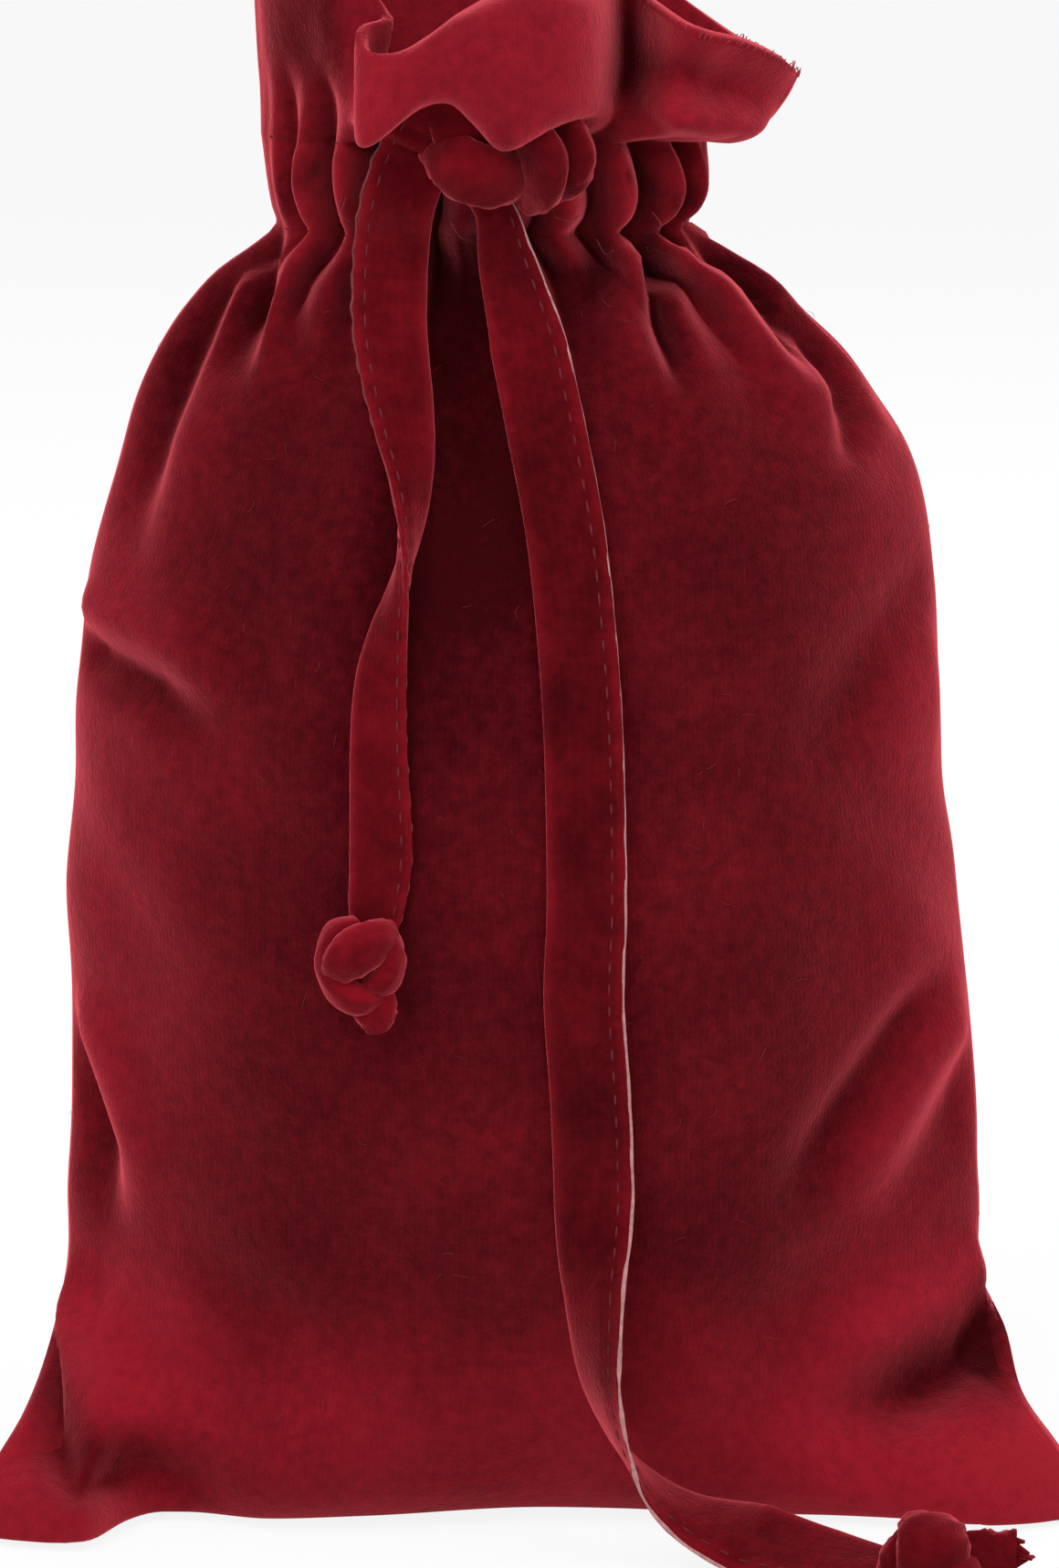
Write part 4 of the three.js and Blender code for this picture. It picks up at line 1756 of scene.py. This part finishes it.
HALF_KNOT = (
    Strand(
        (
            (-13.4, -21.6, 198.8), (-11.2, -25.4, 197.4), (-8.4, -27.0, 195.6), (-5.4, -26.9, 194.6),
            (-2.8, -25.2, 194.6), (-1.4, -21.4, 195.6),
        ),
        (5.4, 7.8, 8.8, 8.6, 7.2, 4.8),
        4.4,
        27,
    ),
    Strand(
        (
            (-2.0, -21.4, 200.6), (0.2, -25.6, 200.4), (2.0, -26.9, 197.2), (1.8, -25.9, 193.6),
            (0.2, -21.6, 190.8),
        ),
        (4.8, 6.8, 7.6, 6.8, 4.6),
        4.6,
        33,
    ),
    Strand(
        (
            (2.8, -20.6, 202.0), (5.0, -23.9, 201.0), (6.6, -24.6, 197.8), (5.8, -23.2, 194.2),
            (4.0, -19.6, 192.2),
        ),
        (4.0, 5.2, 5.6, 5.0, 3.8),
        3.6,
        41,
    ),
    Strand(
        (
            (-12.6, -22.4, 206.6), (-11.4, -24.6, 204.6), (-10.0, -25.6, 201.6), (-8.6, -24.8, 198.2),
            (-7.6, -22.6, 196.0),
        ),
        (6.4, 7.6, 8.0, 7.6, 6.0),
        2.6,
        47,
    ),
)


@dataclass(frozen=True)
class Tuft:
    """Loose ends of cut velvet at the end of a ribbon, from its middle along a heading."""

    root: Point
    heading: Point
    across: Point
    seed: int
    count: int = 9

    def strands(self) -> list[Strand]:
        """The loose ends.

        Returns:
            One strand for each.
        """
        source = np.random.default_rng(self.seed)
        heading = np.array(self.heading)
        made = []
        for place in np.linspace(-0.9, 0.9, self.count):
            start = np.array(self.root) + place * np.array(self.across)
            stray = source.uniform(-0.45, 0.45, 3)
            length = source.uniform(1.2, 3.2)
            points = np.stack([start - 1.5 * heading, start, start + length * unit(heading + stray)])
            made.append(Strand(points, (1.5, 1.3, 0.4), 1.0, self.seed, crumple=1.0, steps=9, sides=8))
        return made


RIGHT_TUFT = Tuft((12.4, 0.0, -0.7), (0.99, 0.0, -0.1), (0.2, 0.6, 3.6), 43)


@dataclass
class Knot:
    """Knot made of strands of the ribbon."""

    name: str
    cad_node: str
    strands: Sequence[Strand]
    middle: Array
    tone_and_painted_light: float
    # Painted light: how much lighter the knot is where it faces up, and darker where it faces down.
    painted_top_light: float
    floor_clear: float = 0.2
    piece: bpy.types.Object = field(init=False)

    def build(self) -> None:
        """Makes the knot as one piece, with painted light: lighter where it faces up and darker where it faces
        down.
        """
        points, faces = merged([strand.moved(self.middle).skin() for strand in self.strands])
        points[:, 2] = np.maximum(points[:, 2], self.floor_clear)
        self.piece = make_piece(self.name, (points, faces))
        normals = np.array([corner.normal[:] for corner in self.piece.data.vertices])
        store_painted_light(self.piece, self.tone_and_painted_light + self.painted_top_light * normals[:, 2])

    def dress(self) -> None:
        """Gives the knot its velvet."""
        dress(self.piece, TAPE_VELVET, Slot.RIBBON, self.cad_node)


@dataclass
class Ribbon:
    """The drawstring outside its casing: the half knot, two tails and the knots at their ends."""

    pouch: Pouch
    left_knot_shift: Point = (-1.4, -2.0, -2.7)
    right_knot_middle: Point = (54.8, -62.0, 6.2)
    tails: list[Tape] = field(init=False)
    knots: list[Knot] = field(init=False)

    def __post_init__(self) -> None:
        """Sets out the two tails."""
        left = Tape(
            "left_ribbon",
            "left_tail",
            LEFT_ROUTE[0],
            millimetres(LEFT_ROUTE),
            LEFT_LEAD,
            turns=(180,) * 8 + (172, 145, 110, 75, 40, 12) + (0,) * 6,
            pinches=(0.8, 0.9, 0.95, 0.95, 0.95, 0.95, 0.93, 0.86, 0.75, 0.6)
            + (0.58, 0.58, 0.6, 0.66, 0.7, 0.74, 0.78, 0.8, 0.74, 0.55),
            frayed=(1, 1, 1, 1, 0.8, 0.4, 0.25, 0.3, 0.4, 0.4, 0.5, 0.4),
            free_below=20,
            edge=DARK_CUT_EDGE,
            tone_and_painted_light=0.08,
        )
        right = Tape(
            "right_ribbon",
            "right_tail",
            RIGHT_ROUTE[0],
            millimetres(RIGHT_ROUTE),
            RIGHT_LEAD,
            turns=(0,) * 12 + (6, 40, 56, 76, 115, 160, 135, 112),
            pinches=(0.38, 0.72, 0.97) + (1,) * 15 + (0.95, 0.7),
            frayed=(1.1, 1.1, 0.7, 0.6, 0.65, 0.7, 0.9, 1.1, 1.4, 1.5, 1.5, 1.5, 1.5, 1.5, 1.4, 1.2),
            free_below=45,
            edge=RAW_EDGE,
            tone_and_painted_light=-0.06,
            foot_lightening=0.2,
        )
        self.tails = [left, right]

    def build(self) -> None:
        """Lays the tails on the pouch and makes them and the knots."""
        for tail in self.tails:
            tail.lay(self.pouch)
        for tail in self.tails:
            tail.build()
        left_middle = self.tails[0].path[-1] + np.array(self.left_knot_shift)
        right_middle = np.array(self.right_knot_middle)
        right_strands = [*RIGHT_KNOT, *RIGHT_TUFT.strands()]
        # Each knot's last two numbers: its tone, and its painted top light.
        self.knots = [
            Knot("left_ribbon_knot", "left_end_knot", LEFT_KNOT, left_middle, 0.24, 0.34),
            Knot("right_ribbon_knot", "right_end_knot", right_strands, right_middle, 0.06, 0.24),
            Knot("half_knot", "tie_knot", HALF_KNOT, np.zeros(3), 0.1, 0.26),
        ]
        for knot in self.knots:
            knot.build()

    def dress(self) -> None:
        """Gives the knots and tails their finishes."""
        for knot in self.knots:
            knot.dress()
        for tail, knot in zip(self.tails, self.knots):
            tail.dress(knot.piece)


@dataclass
class CasingStitches:
    """The two rows of stitches that make the casing."""

    pouch: Pouch
    pitch: float = 2.6
    stitch_length: float = 0.6
    thread: float = 0.16
    seam_clear: float = 3.0
    mouth_flatness: float = 3.0
    piece: bpy.types.Object = field(init=False)

    def build(self) -> None:
        """Makes both rows as one piece."""
        parts = []
        swell = self.thread * np.sin(np.linspace(0.4, np.pi - 0.4, 4))[:, None, None]
        for along in (self.pouch.casing_foot, self.pouch.casing_head):
            ring = self.pouch.casing_row(along)
            closed = np.vstack([ring, ring[:1]])
            length = distances(closed)
            for start in np.arange(0.0, length[-1] - self.pitch, self.pitch):
                line = sampled(closed, length, np.linspace(start, start + self.stitch_length * self.pitch, 4))
                if np.abs(line[:, 1]).min() < self.seam_clear:
                    continue
                out = from_mouth(line, self.mouth_flatness)
                side = np.cross(unit(np.gradient(line, axis=0)), out)
                parts.append(swept(line[:, None] + swell * hoops(out, side, 6)))
        self.piece = make_piece("casing_stitches", merged(parts))

    def dress(self) -> None:
        """Gives the stitches their thread."""
        dress(self.piece, CASING_THREAD, Slot.VELVET)


@dataclass
class DrawLoop:
    """The ribbon's hidden run inside the casing, open at the front where it comes out."""

    half_width: float = 27.0
    half_depth: float = 13.0
    height: float = 191.5
    width: float = 9.0
    thickness: float = 1.6
    from_angle: float = -75.0
    to_angle: float = 255.0
    piece: bpy.types.Object = field(init=False)

    def build(self) -> None:
        """Makes the run as one flat band on edge."""
        angle = np.radians(np.linspace(self.from_angle, self.to_angle, 120))
        x = MOUTH_X + self.half_width * np.cos(angle)
        path = np.stack([x, self.half_depth * np.sin(angle), np.full_like(angle, self.height)], axis=1)
        out = unit(np.stack([np.cos(angle) / self.half_width, np.sin(angle) / self.half_depth, 0 * angle], axis=1))
        up = np.tile([0.0, 0.0, 1.0], (len(path), 1))
        rings = path[:, None] + hoops(0.5 * self.thickness * out, 0.5 * self.width * up, 12)
        self.piece = make_piece("drawstring_run", swept(rings))

    def dress(self) -> None:
        """Gives the run its velvet."""
        dress(self.piece, TAPE_VELVET, Slot.RIBBON, "drawstring_loop")


@dataclass
class CasingFacing:
    """The turned-in cloth behind the casing, sewn at both rows of stitches, that makes the ribbon's channel."""

    pouch: Pouch
    half_width: float = 25.6
    half_depth: float = 11.4
    centre_x: float = -6.4
    rows: int = 9
    behind: float = 1.5
    piece: bpy.types.Object = field(init=False)

    def build(self) -> None:
        """Makes the facing as one band round the mouth."""
        foot, head = self.pouch.casing_foot, self.pouch.casing_head
        rings = []
        for share in np.linspace(0, 1, self.rows):
            bow = math.sin(math.pi * share) ** 0.5
            outer = self.pouch.casing_row(foot + share * (head - foot))
            centre = np.array([self.centre_x, 0.0, outer[0, 2]])
            inward = unit((centre - outer) * np.array([1.0, MOUTH_FLATNESS, 0.0]))
            turn = np.arctan2(outer[:, 1] / self.half_depth, (outer[:, 0] - self.centre_x) / self.half_width)
            oval = np.stack([self.half_width * np.cos(turn), self.half_depth * np.sin(turn), 0 * turn], axis=1)
            near = outer + self.behind * inward
            rings.append(near + bow * (centre + oval - near))
        points = np.stack(rings)
        index = np.arange(points[..., 0].size).reshape(len(points), -1)
        closed = np.concatenate([index, index[:, :1]], axis=1)
        inner_faces = [face[::-1] for face in quads(closed)]
        self.piece = make_piece("casing_facing", (points.reshape(-1, 3), inner_faces))

    def dress(self) -> None:
        """Gives the facing its velvet."""
        dress(self.piece, TAPE_VELVET, Slot.VELVET)


def hair(line: Array, radius: float) -> Skin:
    """Thin thread along a line.

    Args:
        line: Points of the line.
        radius: Half its thickness.

    Returns:
        Vertices and faces.
    """
    tangent = unit(np.gradient(line, axis=0))
    side = unit(np.cross(tangent, np.array([0.3, 0.8, 0.52])))
    return swept(line[:, None] + radius * hoops(side, np.cross(tangent, side), 4))


@dataclass
class Lint:
    """Stray fibres lying on the velvet, and loose thread ends at the casing."""

    pouch: Pouch
    count: int = 240
    seed: int = 17
    fibre: float = 0.034
    shortest: float = 0.9
    longest: float = 3.0
    curl: float = 1.6
    least_lift: float = 0.12
    most_lift: float = 0.35
    thread: float = 0.1
    thread_lift: float = 0.5
    piece: bpy.types.Object = field(init=False)

    def build(self) -> None:
        """Makes all the fibres as one piece."""
        source = np.random.default_rng(self.seed)
        parts = [hair(self._fibre(source), self.fibre) for _ in range(self.count)]
        for line in LOOSE_ENDS:
            places = np.array(line, dtype=float)
            front = self.pouch.front_at(places[:, 0], places[:, 1], 1.0)
            points = np.stack([places[:, 0], front - self.thread_lift, places[:, 1]], axis=1)
            parts.append(hair(curve_through(points, 14), self.thread))
        self.piece = make_piece("stray_fibres", merged(parts))

    def dress(self) -> None:
        """Gives the fibres their colour."""
        dress(self.piece, LINT, Slot.VELVET)

    def _fibre(self, source: np.random.Generator) -> Array:
        """Line of one curled fibre somewhere on the body.

        Args:
            source: Where its numbers are drawn from.

        Returns:
            Points of the line.
        """
        grid = self.pouch.grid
        body = np.nonzero(self.pouch.along < self.pouch.casing_foot)[0]
        row = int(source.integers(14, body[-1] - 4))
        column = int(source.integers(0, grid.shape[1]))
        round_way = unit(grid[row, (column + 2) % grid.shape[1]] - grid[row, column - 2])
        up_way = unit(grid[row + 2, column] - grid[row - 2, column])
        out = unit(np.cross(round_way, up_way))
        angle = source.uniform(0, 2 * np.pi)
        length, curl = source.uniform(self.shortest, self.longest), source.uniform(-self.curl, self.curl)
        steps = np.linspace(0, 1, 6)
        heading = angle + curl * steps
        across = np.cumsum(np.cos(heading)) * length / len(steps)
        up = np.cumsum(np.sin(heading)) * length / len(steps)
        lift = self.least_lift + self.most_lift * source.uniform() * np.sin(np.pi * steps)
        return grid[row, column] + across[:, None] * round_way + up[:, None] * up_way + lift[:, None] * out


@dataclass
class FrayedRim:
    """Loose pile along the cut rim at the right."""

    pouch: Pouch
    count: int = 90
    seed: int = 18
    start: float = 0.72
    fibre: float = 0.09
    corner_clear: float = 7.0
    piece: bpy.types.Object = field(init=False)

    def build(self) -> None:
        """Makes the loose pile as one piece."""
        source = np.random.default_rng(self.seed)
        grid = self.pouch.grid
        parts = []
        for column in source.integers(0, self.pouch.columns // 2, self.count):
            place = int(column + self.start * self.pouch.columns)
            here = grid[-1, place]
            if np.linalg.norm(here - grid[-1, 0]) < self.corner_clear:
                continue
            heading = unit(unit(here - grid[-3, place]) + source.uniform(-0.6, 0.6, 3))
            steps = np.linspace(-0.4, source.uniform(0.2, 1.1), 6)
            parts.append(hair(here + steps[:, None] * heading, self.fibre))
        self.piece = make_piece("frayed_rim", merged(parts))

    def dress(self) -> None:
        """Gives the loose pile its colour."""
        dress(self.piece, FRAY, Slot.VELVET)


def main() -> None:
    """Builds the studio, the pouch and its ribbon, and dresses every piece."""
    logging.basicConfig(level=logging.INFO, format="%(name)s %(message)s")
    Studio().build()
    pouch = Pouch()
    pouch.build()
    ribbon = Ribbon(pouch)
    ribbon.build()
    ribbon.dress()
    pouch.dress()
    for trim in (CasingStitches(pouch), DrawLoop(), CasingFacing(pouch), Lint(pouch), FrayedRim(pouch)):
        trim.build()
        trim.dress()


if __name__ == "__main__":
    main()
